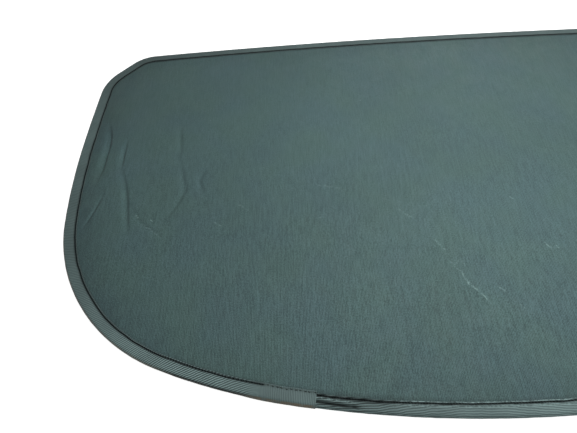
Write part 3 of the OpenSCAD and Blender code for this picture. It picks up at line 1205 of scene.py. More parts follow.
@dataclass
class CoverSheet:
    """The sheet of ribbed cloth, held flat by the hoop and free in the middle.

    Attributes:
        outline: The cover's edge.
        levels: Heights from the frame.
        binding: The strip that holds its edge.
        cloth: Finish of the top.
        backing: Finish of the underside.
        inset: Distance from the edge of the cover to the cut edge of the sheet.
        thickness: Thickness of the cloth.
        sag: How far the middle hangs.
        crease_gap: Distance between mesh columns where the furrows are sharp.
        fine_gap: Distance between mesh columns near the sides.
        wide_gap: Distance between mesh columns elsewhere.
        rows: How many mesh cells from rear to front.
        creases: The furrows in it.
    """

    outline: Outline
    levels: Levels
    binding: "EdgeBinding"
    cloth: RibbedCloth = RibbedCloth(scuffs=SHEET_SCUFFS)
    backing: BackingCloth = BackingCloth()
    inset: float = 5.4 * MM
    thickness: float = 0.9 * MM
    sag: float = 2.0 * MM
    crease_gap: float = 1.3 * MM
    fine_gap: float = 2.6 * MM
    wide_gap: float = 6.6 * MM
    rows: int = 168
    creases: tuple[Crease, ...] = LEFT_CREASES

    def _columns(self) -> np.ndarray:
        """Places the mesh columns, closer together near the sides.

        Returns:
            The X of each column.
        """
        points, inward = self.outline.places(np.linspace(0, self.outline.half, 3000))
        half = float((points + self.inset * inward)[:, 0].max()) - 0.4 * MM
        zones = (
            (-half, self.fine_gap),
            (-0.529, self.crease_gap),
            (-0.448, self.fine_gap),
            (-0.34, self.wide_gap),
            (0.49, self.fine_gap),
            (half, 0.0),
        )
        spans = []
        for (start, gap), (end, _) in zip(zones, zones[1:]):
            spans.append(np.linspace(start, end, round((end - start) / gap), endpoint=False))
        return np.concatenate([*spans, [half]])

    def _ends(self, x: np.ndarray) -> tuple[np.ndarray, np.ndarray]:
        """Finds where the sheet starts and ends.

        Args:
            x: Places along X.

        Returns:
            The Y of its rear edge and that of its front edge at each place.
        """
        points, inward = self.outline.places(np.linspace(0, self.outline.half, 6000))
        edge = points + self.inset * inward
        widest = int(edge[:, 0].argmax())
        rear, front = edge[: widest + 1], edge[widest:][::-1]
        return np.interp(abs(x), rear[:, 0], rear[:, 1]), np.interp(abs(x), front[:, 0], front[:, 1])

    def _edge_distances(self, x: np.ndarray, y: np.ndarray) -> np.ndarray:
        """Measures how far places are from the cover's edge.

        Args:
            x: Places along X.
            y: Places along Y.

        Returns:
            The distance of each.
        """
        spots, _ = self.outline.places(np.arange(0, self.outline.perimeter, 4 * MM))
        tree = KDTree(len(spots))
        for i, (px, py) in enumerate(spots):
            tree.insert((px, py, 0), i)
        tree.balance()
        return np.array([tree.find((px, py, 0))[2] for px, py in zip(x.ravel(), y.ravel())]).reshape(x.shape)

    def _heights(self, x: np.ndarray, y: np.ndarray, edge: np.ndarray) -> np.ndarray:
        """Shapes the top of the sheet.

        Args:
            x: Places along X.
            y: Places along Y.
            edge: Their distances from the cover's edge.

        Returns:
            The height at each place.
        """
        free = smooth(edge, 17 * MM, 34 * MM)
        hung = smooth(edge, 85 * MM, 290 * MM)
        swell = 0.20 * MM * Wander(11, 90 * MM, 420 * MM).over(x, y)
        ripple = 0.06 * MM * Wander(12, 16 * MM, 60 * MM).over(x, y) * smooth(edge, 90 * MM, 30 * MM)
        furrows = sum(crease.sink(x, y) for crease in self.creases)
        past = (x + self.binding.lap_end_x) * (y < 0)
        beside = smooth(past, -14 * MM, -4 * MM) * smooth(past, 64 * MM, 44 * MM)
        tuck = 1.9 * MM * beside * smooth(edge, 9.5 * MM, 6.0 * MM)
        return self.levels.sheet_high - self.sag * hung - tuck + free * (swell + ripple - furrows)

    def build(self, with_pieces: Sequence[bpy.types.Object]) -> bpy.types.Object:
        """Args:
            with_pieces: The pieces that are sewn to it; not used.

        Returns:
            The sheet.
        """
        columns = self._columns()
        rear, front = self._ends(columns)
        share = np.linspace(0, 1, self.rows + 1)
        x = np.repeat(columns[:, None], len(share), 1)
        y = rear[:, None] + (front - rear)[:, None] * share
        edge = self._edge_distances(x, y)
        top = np.stack([x, y, self._heights(x, y, edge)], -1)
        low = top - (0, 0, self.thickness)
        index = np.arange(2 * x.size).reshape(2, *x.shape)
        faces = self._cells(index[0]) + self._cells(index[1]) + self._rim(index)
        slots = np.full(len(faces), Patch.FACE_CLOTH.value)
        cells = (len(columns) - 1) * self.rows
        slots[cells : 2 * cells] = Patch.BACKING.value
        # Painted shade: the sheet darkens near the binding and more towards the left side; along each crease
        # the sharp side gets painted shade and the soft side a painted highlight.
        shade = 0.10 * smooth(edge, 60 * MM, 12 * MM) + 0.30 * smooth(edge, 20 * MM, 15 * MM)
        shade = shade + 0.15 * smooth(edge, 85 * MM, 20 * MM) * smooth(x, -0.40, -0.50)
        shade = shade + sum(crease.painted_shading(x, y) for crease in self.creases)
        shape = Shape(
            np.concatenate([top.reshape(-1, 3), low.reshape(-1, 3)]),
            faces,
            {"shade": np.tile(shade.ravel(), 2)},
            slots,
        )
        piece = shape.show("ribbed_sheet", "sheet", self.cloth.make(), self.backing.make())
        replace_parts(piece, "cover_sheet")
        return piece

    @staticmethod
    def _cells(index: np.ndarray) -> list[list[int]]:
        """Lists the four-cornered faces of a grid of point numbers."""
        corners = (index[:-1, :-1], index[1:, :-1], index[1:, 1:], index[:-1, 1:])
        return np.stack(corners, -1).reshape(-1, 4).tolist()

    @staticmethod
    def _rim(index: np.ndarray) -> list[list[int]]:
        """Joins the top and the underside round the edge.

        Args:
            index: The point numbers of the top and of the underside.

        Returns:
            The faces between them.
        """
        high, low = [
            np.concatenate([face[:-1, 0], face[-1, :-1], face[:0:-1, -1], face[0, :0:-1]]) for face in index
        ]
        return np.stack([high, np.roll(high, -1), np.roll(low, -1), low], -1).tolist()


# ---- Binding ----

# Width of the binding seen on top, as a share of its nominal width, by distance in millimetres
# from the middle of the rear edge
BINDING_WIDTHS = (
    (-270, 0.95), (-210, 0.86), (-150, 0.86), (-60, 0.93), (0, 0.96), (240, 0.97), (400, 1.00),
    (540, 1.08), (700, 1.14), (930, 1.17), (1000, 1.20), (1070, 1.10), (1300, 1.04),
    (1800, 1.05), (2010, 1.10), (2075, 1.22), (2140, 1.21), (2270, 1.20), (2400, 1.17),
    (2540, 1.08), (2680, 1.02), (2880, 1.00),
)
# Lean of the ribs from the strip's own direction, in degrees, by distance in millimetres along it
RIB_LEANS = (
    (0, 10), (65, 9), (105, 8), (145, 10), (182, 7), (222, 2), (262, -4), (302, -7), (500, 0),
    (900, 20), (1600, 50), (2500, 70), (2860, 70), (2920, 60), (2960, 45), (3000, 38),
    (3040, 32), (3064, 27), (3074, 98), (3140, 103),
)
# Tone of the strip, by distance in millimetres along it: painted light and shade as its nap turns towards or
# away from the lamps, together with the dirt on it
STRIP_LIGHT_AND_DIRT_TONES = (
    (0, 0.91), (75, 0.89), (110, 0.73), (140, 0.83), (200, 0.93), (310, 1.19), (900, 1.0),
    (1600, 0.78), (2100, 0.78), (2260, 0.65), (2350, 0.71), (2500, 0.99), (2730, 0.90),
    (2800, 1.0), (2910, 1.33), (3045, 1.19), (3080, 0.92), (3140, 0.92),
)
# How strongly the ribs show, by distance in millimetres along the strip
RIB_STRENGTHS = (
    (0, 1.2), (110, 1.2), (145, 0.8), (220, 0.6), (350, 0.6), (600, 0.5), (2100, 0.3),
    (2560, 0.35), (2860, 0.7), (2920, 1.1), (2970, 1.4), (3010, 1.3), (3056, 0.9), (3064, 0.1),
    (3078, 0.1), (3086, 0.32), (3140, 0.32),
)


@dataclass
class EdgeBinding:
    """The strip folded over the edge of the sheet and over the hoop, closed by a lap on the rear edge.

    Attributes:
        outline: The cover's edge.
        levels: Heights from the frame.
        cloth: Finish of the strip.
        width: Nominal width seen on top.
        thickness: Thickness of the strip.
        under_width: Distance from the edge to the strip's other cut edge, underneath.
        row_inset: Distance from the cut edge to the row of stitches.
        lap_end_x: Distance from the middle of the cover to the free end of the lap.
        lap_l: Length of the lap.
        gap: Distance between mesh stations.
        rib_pitch: Distance between ribs.
        top_points: How many points of a section lie on top, from the cut edge round to the nose.
        tail_points: How many points of a section lie on the flat part underneath.
        pull_slope: How much the hollow beside the rod's joint comes in, for each metre along the strip.
        hollow_inset: Distance from the cover's edge to that hollow.
        swell_inset: Distance from the cover's edge to the swelling behind it.
        pinch_run: Distance from the free end of the lap to the small pinch in the fold.
        pinch_inset: Distance from the cover's edge to that pinch.
    """

    outline: Outline
    levels: Levels
    cloth: BiasCloth = BiasCloth()
    width: float = 16 * MM
    thickness: float = 0.78 * MM
    under_width: float = 15.6 * MM
    row_inset: float = 1.6 * MM
    lap_end_x: float = 206 * MM
    lap_l: float = 58 * MM
    gap: float = 2.6 * MM
    rib_pitch: float = 2.5 * MM
    top_points: int = 24
    tail_points: int = 5
    pull_slope: float = 0.035
    hollow_inset: float = 5.6 * MM
    swell_inset: float = 9.6 * MM
    pinch_run: float = 42 * MM
    pinch_inset: float = 4.4 * MM

    def __post_init__(self) -> None:
        """Works out where the strip starts and how long it is."""
        self.nose_r = self.levels.binding_high / 2
        self.start = self.outline.rear_distance(-self.lap_end_x) - self.lap_l
        self.length = self.outline.perimeter + self.lap_l
        self.lap_lift = self.levels.lap_high - self.levels.binding_high - 0.25 * MM

    def visible_width(self, run: np.ndarray) -> np.ndarray:
        """Gives the width seen on top.

        Args:
            run: Distances along the strip from its hidden start.

        Returns:
            The width at each distance.
        """
        base = along(BINDING_WIDTHS, run + self.start)
        return self.width * base + 0.22 * MM * Wander(21, 25 * MM, 160 * MM).along(run)

    def lift(self, run: np.ndarray) -> np.ndarray:
        """Gives how far the strip stands off where it laps over its own start."""
        return self.lap_lift * smooth(run, self.outline.perimeter - 34 * MM, self.outline.perimeter - 2 * MM)

    def _pull(self, run: np.ndarray) -> np.ndarray:
        """Gives how strongly the cloth is pulled in beside the rod's joint, from 0 to 1."""
        past = run - self.lap_l
        return smooth(past, -6 * MM, 1 * MM) * smooth(past, 50 * MM, 30 * MM)

    def rise(self, run: np.ndarray, inset: np.ndarray, width: np.ndarray) -> np.ndarray:
        """Gives how far the top of the strip departs from its flat height.

        Args:
            run: Distances along the strip.
            inset: Distances in from the cover's edge.
            width: The visible width there.

        Returns:
            The rise at each place.
        """
        row = width - self.row_inset
        groove = -0.5 * MM * bell(inset, row, 1.0 * MM)
        wave = 0.10 * MM * Wander(22, 14 * MM, 90 * MM).along(run) * smooth(inset, 2 * MM, 7 * MM)
        pull = self._pull(run)
        slant = inset + self.pull_slope * (run - self.lap_l)
        hollow = -1.8 * MM * pull * bell(slant, self.hollow_inset, 1.4 * MM)
        swell = 0.7 * MM * pull * bell(slant, self.swell_inset, 1.7 * MM)
        tucks = 0.12 * MM * pull * np.sin(2 * np.pi * slant / (1.9 * MM)) * smooth(inset, 2 * MM, 4 * MM)
        pinched = bell(run - self.lap_l, self.pinch_run, 6 * MM)
        pinch = -1.1 * MM * pinched * bell(inset, self.pinch_inset, 1.7 * MM)
        return groove + wave + hollow + swell + tucks + pinch

    def _outer(self, run: np.ndarray) -> tuple[np.ndarray, np.ndarray]:
        """Gives the outside of the section at each station, as insets and heights.

        Args:
            run: Distances along the strip.

        Returns:
            Two arrays of stations by points, from the top cut edge round to the one underneath.
        """
        width, lift = self.visible_width(run)[:, None], self.lift(run)[:, None]
        r, high = self.nose_r, self.levels.binding_high
        near = np.array([0.0, 0.15, 0.5, 0.9, 1.3, 1.6, 1.9, 2.4, 3.2]) * MM
        flat = np.linspace(0, 1, 10)[1:-1]
        inner = width - near[-1]
        tops = np.concatenate([width - near, inner + (r - inner) * flat], 1)
        cut = -0.16 * MM * (np.arange(tops.shape[1]) == 0)
        top_z = high + lift + cut + self.rise(run[:, None], tops, width)
        turn = np.radians(np.linspace(90, 310, 17))
        full = np.where(turn <= np.pi, 1.0, np.clip(np.cos(turn - np.pi), 0, 1))
        pressed = 0.35 * MM * smooth(run, self.lap_l + 20 * MM, self.lap_l - 4 * MM)[:, None]
        nose = r + lift * full - pressed * (1 - full)
        nose = nose + 0.07 * MM * Wander(23, 12 * MM, 70 * MM).along(run)[:, None] * full
        nose_x, nose_z = r + nose * np.cos(turn), r + nose * np.sin(turn)
        nose_z = nose_z + self.rise(run[:, None], nose_x[:, :1], width) * bell(turn, np.pi / 2, 0.35)
        start = np.stack([nose_x[:, -1], nose_z[:, -1]], -1)
        under = self.levels.sheet_low - self.thickness + pressed
        rest = np.concatenate([np.full_like(under, 9.2 * MM), under], 1)
        way = np.array([-math.sin(turn[-1]), math.cos(turn[-1])])
        curve = self._curve(start, start + 2.2 * MM * way, rest - np.array([1.7 * MM, 0]), rest)
        tail = (self.under_width - pressed) - rest[:, :1]
        tail_x = rest[:, :1] + tail * np.linspace(0, 1, self.tail_points + 1)[1:]
        ripple = 0.07 * MM * Wander(24, 15 * MM, 80 * MM).along(run)[:, None]
        tail_z = np.repeat(under - 0.06 * MM + ripple, self.tail_points, 1)
        insets = np.concatenate([tops, nose_x, curve[..., 0], tail_x], 1)
        return insets, np.concatenate([top_z, nose_z, curve[..., 1], tail_z], 1)

    @staticmethod
    def _curve(a: np.ndarray, b: np.ndarray, c: np.ndarray, d: np.ndarray, count: int = 8) -> np.ndarray:
        """Draws a Bezier curve for each station.

        Args:
            a: Its start, which is left out.
            b: Its first handle.
            c: Its second handle.
            d: Its end.
            count: How many points it has.

        Returns:
            The curves, stations by points.
        """
        t = np.linspace(0, 1, count + 1)[1:, None]
        a, b, c, d = (point[:, None, :] for point in (a, b, c, d))
        return (1 - t) ** 3 * a + 3 * (1 - t) ** 2 * t * b + 3 * (1 - t) * t * t * c + t**3 * d

    def _rib_cycles(self, run: np.ndarray, across: np.ndarray) -> np.ndarray:
        """Counts ribs, so that they lean as the strip was cut and twisted.

        Args:
            run: Distances along the strip, one a station.
            across: Distances round the section, stations by points.

        Returns:
            The number of ribs passed at each point.
        """
        lean = np.radians(along(RIB_LEANS, run))
        steps = np.diff(run, prepend=run[0])
        travelled = np.cumsum(np.sin(lean) * steps)
        return (travelled[:, None] + across * np.cos(lean)[:, None]) / self.rib_pitch

    def build(self) -> bpy.types.Object:
        """Makes the strip, with its lap.

        Returns:
            The piece.
        """
        run = np.linspace(0, self.length, int(self.length / self.gap))
        insets, heights = self._outer(run)
        spans = np.stack([np.diff(insets, axis=1), np.diff(heights, axis=1)], -1)
        across = np.concatenate([np.zeros((len(run), 1)), np.cumsum(np.linalg.norm(spans, axis=-1), 1)], 1)
        slope = np.stack([np.gradient(insets, axis=1), np.gradient(heights, axis=1)], -1)
        slope /= np.linalg.norm(slope, axis=-1, keepdims=True)
        back = slice(None, None, -2)
        # Round the nose, this second face of the strip stands outside the first one
        inner_x = (insets + self.thickness * slope[..., 1])[:, back]
        inner_z = (heights + self.thickness * slope[..., 0])[:, back]
        all_x = np.concatenate([insets, inner_x], 1)
        all_z = np.concatenate([heights, np.maximum(inner_z, 0.1 * MM)], 1)
        place, inward = self.outline.places(run + self.start)
        flat = place[:, None, :] + all_x[..., None] * inward[:, None, :]
        points = np.concatenate([flat, np.maximum(all_z, 0.0)[..., None]], -1)
        across = np.concatenate([across, across[:, back]], 1)
        values = {"rib": self._rib_cycles(run, across).ravel()}
        for name, value in self._shading_and_dust(run, insets, heights).items():
            values[name] = np.concatenate([value, value[:, back]], 1).ravel()
        shape = Shape(points.reshape(-1, 3), loop_faces(*all_x.shape, capped=True), values)
        piece = shape.show("bound_edge", "binding", self.cloth.make(), crisp=50)
        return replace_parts(piece, "edge_binding")

    def _shading_and_dust(self, run: np.ndarray, insets: np.ndarray, heights: np.ndarray) -> dict[str, np.ndarray]:
        """Gives what the finish reads at each point.

        Args:
            run: Distances along the strip, one a station.
            insets: Distances in from the cover's edge, stations by points.
            heights: Heights, stations by points.

        Returns:
            How strongly the ribs show, the painted shade and painted highlights, and how much sand there is,
            from 0 to 1.
        """
        far = run[:, None]
        width = self.visible_width(run)[:, None]
        on_top = (heights > self.nose_r) & (np.arange(insets.shape[1]) < self.top_points)
        lapped = smooth(far, self.outline.perimeter - 4 * MM, self.outline.perimeter)
        darker_row_stretch = smooth(far, 150 * MM, 125 * MM)
        # Painted shade in the groove of the stitch row, wider and darker over the first stretch of the strip
        # and fainter under the lap.
        row = bell(insets, width - self.row_inset - 0.2 * MM, (1.5 + 0.7 * darker_row_stretch) * MM)
        row = (0.92 + 0.05 * darker_row_stretch - 0.62 * lapped) * row
        pull = self._pull(run)[:, None]
        slant = insets + self.pull_slope * (far - self.lap_l)
        # Painted shade in the hollow beside the rod's joint and in the pinch of the fold.
        hollow = 0.95 * pull * bell(slant, self.hollow_inset, 2.0 * MM)
        pinched = bell(far - self.lap_l, self.pinch_run, 6 * MM)
        pinch = 0.95 * pinched * bell(insets, self.pinch_inset, 1.8 * MM)
        # Painted shade on the strip's lower half, under the nose.
        under = 0.35 * smooth(heights, 2.2 * MM, 0.4 * MM)
        # The stretch of strip whose cut-edge lip carries a painted highlight; elsewhere the lip carries
        # painted shade.
        highlit_stretch = smooth(far, 130 * MM, 165 * MM) * smooth(far, 520 * MM, 380 * MM)
        rim = 0.38 * (1 - highlit_stretch) * (1 - lapped) * smooth(insets, width - self.row_inset, width - 0.9 * MM)
        # All the painted shade: the greatest of these marks at each point.
        painted_shade = np.where(on_top, np.maximum.reduce([row, hollow, pinch, rim]), under)
        # Painted shadow along the outer edge, on the stretch that runs up to the lap.
        edge_shadow = smooth(far, 2930 * MM, 2975 * MM) * smooth(far, 3078 * MM, 3040 * MM)
        painted_shade = np.maximum(painted_shade, 0.93 * edge_shadow * smooth(insets, 1.6 * MM, 0.8 * MM))
        # The strip's tone along its length, painted light and shade with dirt, scales what the painted shade
        # leaves.
        shade = 1 - (1 - np.clip(painted_shade, 0, 0.96)) * along(STRIP_LIGHT_AND_DIRT_TONES, run)[:, None]
        # Painted highlights on the cut edge's lip, on a ridge below the stitches, and on the crest of the
        # swelling beside the hollow.
        worn = 0.6 * highlit_stretch * bell(insets, width, 0.42 * MM) + 0.5 * pull * bell(slant, 9.9 * MM, 1.0 * MM)
        worn = worn + 0.3 * highlit_stretch * bell(insets, width - 4.4 * MM, 1.2 * MM)
        sandy = smooth(far, 1500 * MM, 2100 * MM) * smooth(insets, 1.5 * MM, 0.3 * MM)
        return {
            "bold": along(RIB_STRENGTHS, run)[:, None] * np.where(on_top, 1.0, 0.5),
            "shade": shade,
            "worn": np.where(on_top, np.clip(worn, 0, 1), 0),
            "dust": 0.75 * sandy * (1 - 0.85 * edge_shadow),
        }


# ---- Stitches ----


@dataclass(frozen=True)
class Stitch:
    """One kind of stitch: a short length of thread that goes down a hole at each end.

    Attributes:
        thread: Finish of the thread.
        length: Distance between its two holes.
        radius: Radius of the thread.
        crown: How high its middle stands above the cloth.
        slant: How far it is turned out of the row, in radians.
        sides: How many sides the thread's section has.
    """

    thread: TwistedThread
    length: float = 2.9 * MM
    radius: float = 0.36 * MM
    crown: float = 0.22 * MM
    slant: float = 0.0
    sides: int = 6

    def lay(
        self, middles: np.ndarray, ways: np.ndarray, face: Face, lengths: np.ndarray | None = None
    ) -> Shape:
        """Lays stitches on a face of the cloth.

        Args:
            middles: The middle of each stitch, on the cloth.
            ways: The direction of each, as a flat unit vector.
            face: The face of the cloth that they stand on.
            lengths: The length of each, where they differ.

        Returns:
            One shape that holds them all, each as a solid of its own.
        """
        parts = np.array([-0.5, -0.42, -0.22, 0.0, 0.22, 0.42, 0.5])
        rise = np.array([-1.5, -0.35, 0.75, 1.0, 0.75, -0.35, -1.5]) * self.crown
        girth = np.array([0.55, 0.85, 1.0, 1.05, 1.0, 0.85, 0.55]) * self.radius
        angles = 2 * np.pi * np.arange(self.sides) / self.sides
        lengths = np.full(len(middles), self.length) if lengths is None else lengths
        up = face.value
        cos, sin = math.cos(self.slant), math.sin(self.slant)
        ways = ways @ np.array([[cos, sin], [-sin, cos]])
        side = left_of(ways)
        spread = parts * lengths[:, None]
        centre = middles[:, None, :2] + spread[..., None] * ways[:, None, :]
        height = middles[:, 2, None] + up * rise
        ring = girth[:, None] * np.cos(angles)
        flat = centre[:, :, None, :] + ring[None, :, :, None] * side[:, None, None, :]
        z = height[:, :, None] + up * (girth[:, None] * np.sin(angles))[None]
        points = np.concatenate([flat, z[..., None]], -1)
        one = loop_faces(len(parts), self.sides, capped=True)
        size = len(parts) * self.sides
        faces = [[i + k * size for i in f] for k in range(len(middles)) for f in one]
        ply = spread[..., None] / (1.1 * MM) + angles / (2 * np.pi)
        return Shape(points.reshape(-1, 3), faces, {"ply": ply.ravel()})


@dataclass
class Seams:
    """The rows of stitches round the binding and across its lap.

    Attributes:
        binding: The strip that they hold.
        needle: The stitches on top.
        bobbin: The stitches underneath.
        by_hand: The uneven stitches that close the lap.
        pitch: Distance from one machine stitch to the next.
        hand_stitches: How many hand stitches close the lap.
        under_row: Distance from the cover's edge to the row underneath.
    """

    binding: EdgeBinding
    needle: Stitch = Stitch(
        TwistedThread("needle_thread_black", (0.0016, 0.0036, 0.0044), 0.75),
        radius=0.56 * MM,
        slant=-0.22,
    )
    bobbin: Stitch = Stitch(
        TwistedThread("bobbin_thread_black", (0.014, 0.017, 0.018), 0.55), radius=0.3 * MM
    )
    by_hand: Stitch = Stitch(TwistedThread("hand_thread", (0.010, 0.014, 0.014), 0.5), radius=0.38 * MM)
    pitch: float = 3.2 * MM
    hand_stitches: int = 11
    under_row: float = 14.3 * MM

    def _row(self, run: np.ndarray) -> tuple[np.ndarray, np.ndarray]:
        """Finds the row on top of the strip.

        Args:
            run: Distances along the strip.

        Returns:
            The points on the cloth and the direction of the row at each.
        """
        strip = self.binding
        width = strip.visible_width(run)
        inset = width - strip.row_inset
        place, inward = strip.outline.places(run + strip.start)
        z = strip.levels.binding_high + strip.lift(run) + strip.rise(run, inset, width)
        flat = place + inset[:, None] * inward
        return np.concatenate([flat, z[:, None]], 1), -left_of(inward)

    def build(self) -> list[bpy.types.Object]:
        """Makes the three rows."""
        return [self._needle_row(), self._bobbin_row(), self._lap_row()]

    def _needle_row(self) -> bpy.types.Object:
        """Makes the machine stitches on top, which stop where the lap begins.

        Returns:
            The piece.
        """
        strip = self.binding
        run = np.arange(strip.lap_l + 1.6 * MM, strip.outline.perimeter - 1.0 * MM, self.pitch)
        points, ways = self._row(run)
        points[:, 2] += 0.16 * MM
        shape = self.needle.lay(points, ways, Face.TOP)
        piece = shape.show("needle_stitches", "sewing_thread", self.needle.thread.make())
        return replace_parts(piece, "needle_thread")

    def _bobbin_row(self) -> bpy.types.Object:
        """Makes the machine stitches underneath.

        Returns:
            The piece.
        """
        strip = self.binding
        run = np.arange(0, strip.outline.perimeter - self.pitch / 2, self.pitch)
        place, inward = strip.outline.places(run)
        flat = place + self.under_row * inward
        z = np.full((len(run), 1), strip.levels.sheet_low - strip.thickness - 0.12 * MM)
        shape = self.bobbin.lay(np.concatenate([flat, z], 1), -left_of(inward), Face.UNDER)
        piece = shape.show("bobbin_stitches", "sewing_thread", self.bobbin.thread.make())
        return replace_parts(piece, "bobbin_thread")

    def _lap_row(self) -> bpy.types.Object:
        """Makes the hand stitches across the lap, each a little out of line.

        Returns:
            The piece.
        """
        strip = self.binding
        rng = np.random.default_rng(31)
        count = self.hand_stitches
        step = strip.lap_l / count
        run = strip.outline.perimeter + step * (np.arange(count) + 0.5) + rng.normal(0, 0.6 * MM, count)
        points, ways = self._row(run)
        points[:, 2] += 0.2 * MM
        side = left_of(ways)
        points[:, :2] += side * rng.normal(0, 0.35 * MM, count)[:, None]
        ways = ways + side * rng.normal(0, 0.16, count)[:, None]
        ways /= np.linalg.norm(ways, axis=1, keepdims=True)
        shape = self.by_hand.lay(points, ways, Face.TOP, rng.uniform(2.0 * MM, 3.6 * MM, count))
        piece = shape.show("lap_stitches", "lap_thread", self.by_hand.thread.make())
        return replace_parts(piece, "lap_thread")


# ---- Corners ----


@dataclass
class CornerFittings:
    """The patch and the woven strap under one corner, and its box of stitches.

    Local +X runs in from the edge, +Y lies along the hook's bar, and the origin is on the ground under it.

    Attributes:
        corner: Which corner it is.
        levels: Heights from the frame.
        strap_w: Width of the strap.
        strap_t: Thickness of the strap.
        strap_l: Length of its sewn part.
        loop_r: Radius from the bar's centre to the middle of the strap.
        box_l: Length of the box of stitches.
        box_x: Where its middle lies.
        patch_w: Width of the patch, along the bar.
        patch_l: Length of the patch, in from the edge.
        patch_r: Radius of the patch's corners.
        patch_steps: How many points each of them has.
    """

    corner: Corner
    levels: Levels
    strap_w: float = 20 * MM
    strap_t: float = 0.94 * MM
    strap_l: float = 30 * MM
    loop_r: float = 1.55 * MM
    box_l: float = 18 * MM
    box_x: float = -17 * MM
    patch_w: float = 44 * MM
    patch_l: float = 32 * MM
    patch_r: float = 4 * MM
    patch_steps: int = 8

    def __post_init__(self) -> None:
        """Takes the corner's place and direction from the hook's hinge."""
        name = f"hook_{self.corner.value}_swing"
        hinge = next(joint for joint in frame["joints"] if joint["name"] == name)
        x, y, self.bar_z = hinge["pos_m"]
        across_x, across_y, _ = hinge["axis"]
        inward = Vector((across_y, -across_x, 0)).normalized()
        side = Vector((0, 0, 1)).cross(inward)
        self.place = Matrix((inward, side, (0, 0, 1))).transposed().to_4x4()
        self.place.translation = (x, y, 0)

    def strap(self) -> Shape:
        """Makes the strap: down one leg, round the bar and back along the other.

        Returns:
            The strap in the cover's frame.
        """
        low, high = self._leg_heights()
        turn = np.radians(np.linspace(80, -88, 18))
        arc = np.stack([self.loop_r * np.cos(turn), self.bar_z + self.loop_r * np.sin(turn)], -1)
        upper = np.stack([np.linspace(-self.strap_l, -1.6 * MM, 18), np.full(18, high)], -1)
        rise = smooth(np.linspace(0, 1, 8), 0, 1)
        leave = np.stack([np.linspace(-0.6 * MM, -6.5 * MM, 8), arc[-1, 1] + (low - arc[-1, 1]) * rise], -1)
        lower = np.stack([np.linspace(-8 * MM, 2 * MM - self.strap_l, 14), np.full(14, low)], -1)
        path = np.concatenate([upper, arc, leave, lower])
        way = np.gradient(path, axis=0)
        way /= np.linalg.norm(way, axis=1, keepdims=True)
        normal = left_of(way)
        side, off = self._strap_section()
        x = path[:, 0, None] + off * normal[:, 0, None]
        z = path[:, 1, None] + off * normal[:, 1, None]
        points = np.stack([x, np.broadcast_to(side, x.shape), z], -1).reshape(-1, 3)
        travelled = np.concatenate([[0], np.cumsum(np.linalg.norm(np.diff(path, axis=0), axis=1))])
        run = np.repeat(travelled[:, None], len(side), 1)
        values = {"run": run.ravel(), "side": np.broadcast_to(side, x.shape).ravel() + self.strap_w}
        return Shape(points, loop_faces(*x.shape, capped=True), values).moved(self.place)

    def _leg_heights(self) -> tuple[float, float]:
        """Gives the height of the middle of the lower and of the upper leg."""
        high = self.levels.patch_low - 0.5 * MM
        return high - 1.0 * MM, high

    def _strap_section(self) -> tuple[np.ndarray, np.ndarray]:
        """Gives the strap's section, with full selvedges.

        Returns:
            Places across the strap and off its middle.
        """
        half, thick = self.strap_w / 2, self.strap_t / 2
        flat = np.linspace(-half + 0.9 * MM, half - 0.9 * MM, 15)
        edge = np.radians(np.linspace(90, -90, 7)[1:-1])
        round_x, round_z = 0.9 * MM * np.cos(edge), thick * np.sin(edge)
        side = np.concatenate([flat, flat[-1] + round_x, flat[::-1], flat[0] - round_x])
        off = np.concatenate([np.full(15, thick), round_z, np.full(15, -thick), -round_z])
        return side, off * (1 - 0.05 * np.cos(side * 2 * np.pi / (5 * MM)))

    def patch(self) -> Shape:
        """Makes the patch, with a welded line just inside its edge.

        Returns:
            The patch in the cover's frame.
        """
        low, high = self.levels.patch_low, self.levels.sheet_low - 0.02 * MM
        levels = (
            (0.1, high), (0.0, high - 0.15 * MM), (0.0, low + 0.14 * MM), (0.14, low),
            (1.1, low), (1.4, low + 0.16 * MM), (1.7, low), (3.0, low),
        )
        loops = [self._patch_loop(inset * MM, z) for inset, z in levels]
        points = np.concatenate(loops)
        return Shape(points, loop_faces(len(loops), len(loops[0]), capped=True), {}).moved(self.place)

    def _patch_loop(self, inset: float, z: float) -> np.ndarray:
        """Gives a rounded rectangle.

        Args:
            inset: How far it is drawn in from the patch's edge.
            z: Its height.

        Returns:
            Its points.
        """
        mid_x, radius = -1 * MM - self.patch_l / 2, self.patch_r - inset
        reach_x, reach_y = self.patch_l / 2 - self.patch_r, self.patch_w / 2 - self.patch_r
        points = []
        for k, (sx, sy) in enumerate(((1, 1), (-1, 1), (-1, -1), (1, -1))):
            for turn in np.radians(np.linspace(90 * k, 90 * k + 90, self.patch_steps)):
                x = mid_x + sx * reach_x + radius * math.cos(turn)
                y = sy * reach_y + radius * math.sin(turn)
                points.append((x, y, z))
        return np.array(points)

    def stitches(self, stitch: Stitch) -> Shape:
        """Makes the box of stitches with a cross in it, under the lower leg.

        Args:
            stitch: The kind of stitch.

        Returns:
            The box in the cover's frame.
        """
        half_l, half_w = self.box_l / 2, self.strap_w / 2 - 2 * MM
        signs = ((-1, -1), (1, -1), (1, 1), (-1, 1))
        corners = [Vector((self.box_x + a * half_l, b * half_w)) for a, b in signs]
        lines = [(corners[i], corners[(i + 1) % 4]) for i in range(4)]
        lines += [(corners[0], corners[2]), (corners[1], corners[3])]
        middles, ways = [], []
        z = self._leg_heights()[0] - self.strap_t / 2 - 0.06 * MM
        for start, end in lines:
            count = round((end - start).length / (2.6 * MM))
            for k in range(count):
                spot = start.lerp(end, (k + 0.5) / count)
                middles.append((spot.x, spot.y, z))
                ways.append(tuple((end - start).normalized()))
        return stitch.lay(np.array(middles), np.array(ways), Face.UNDER).moved(self.place)


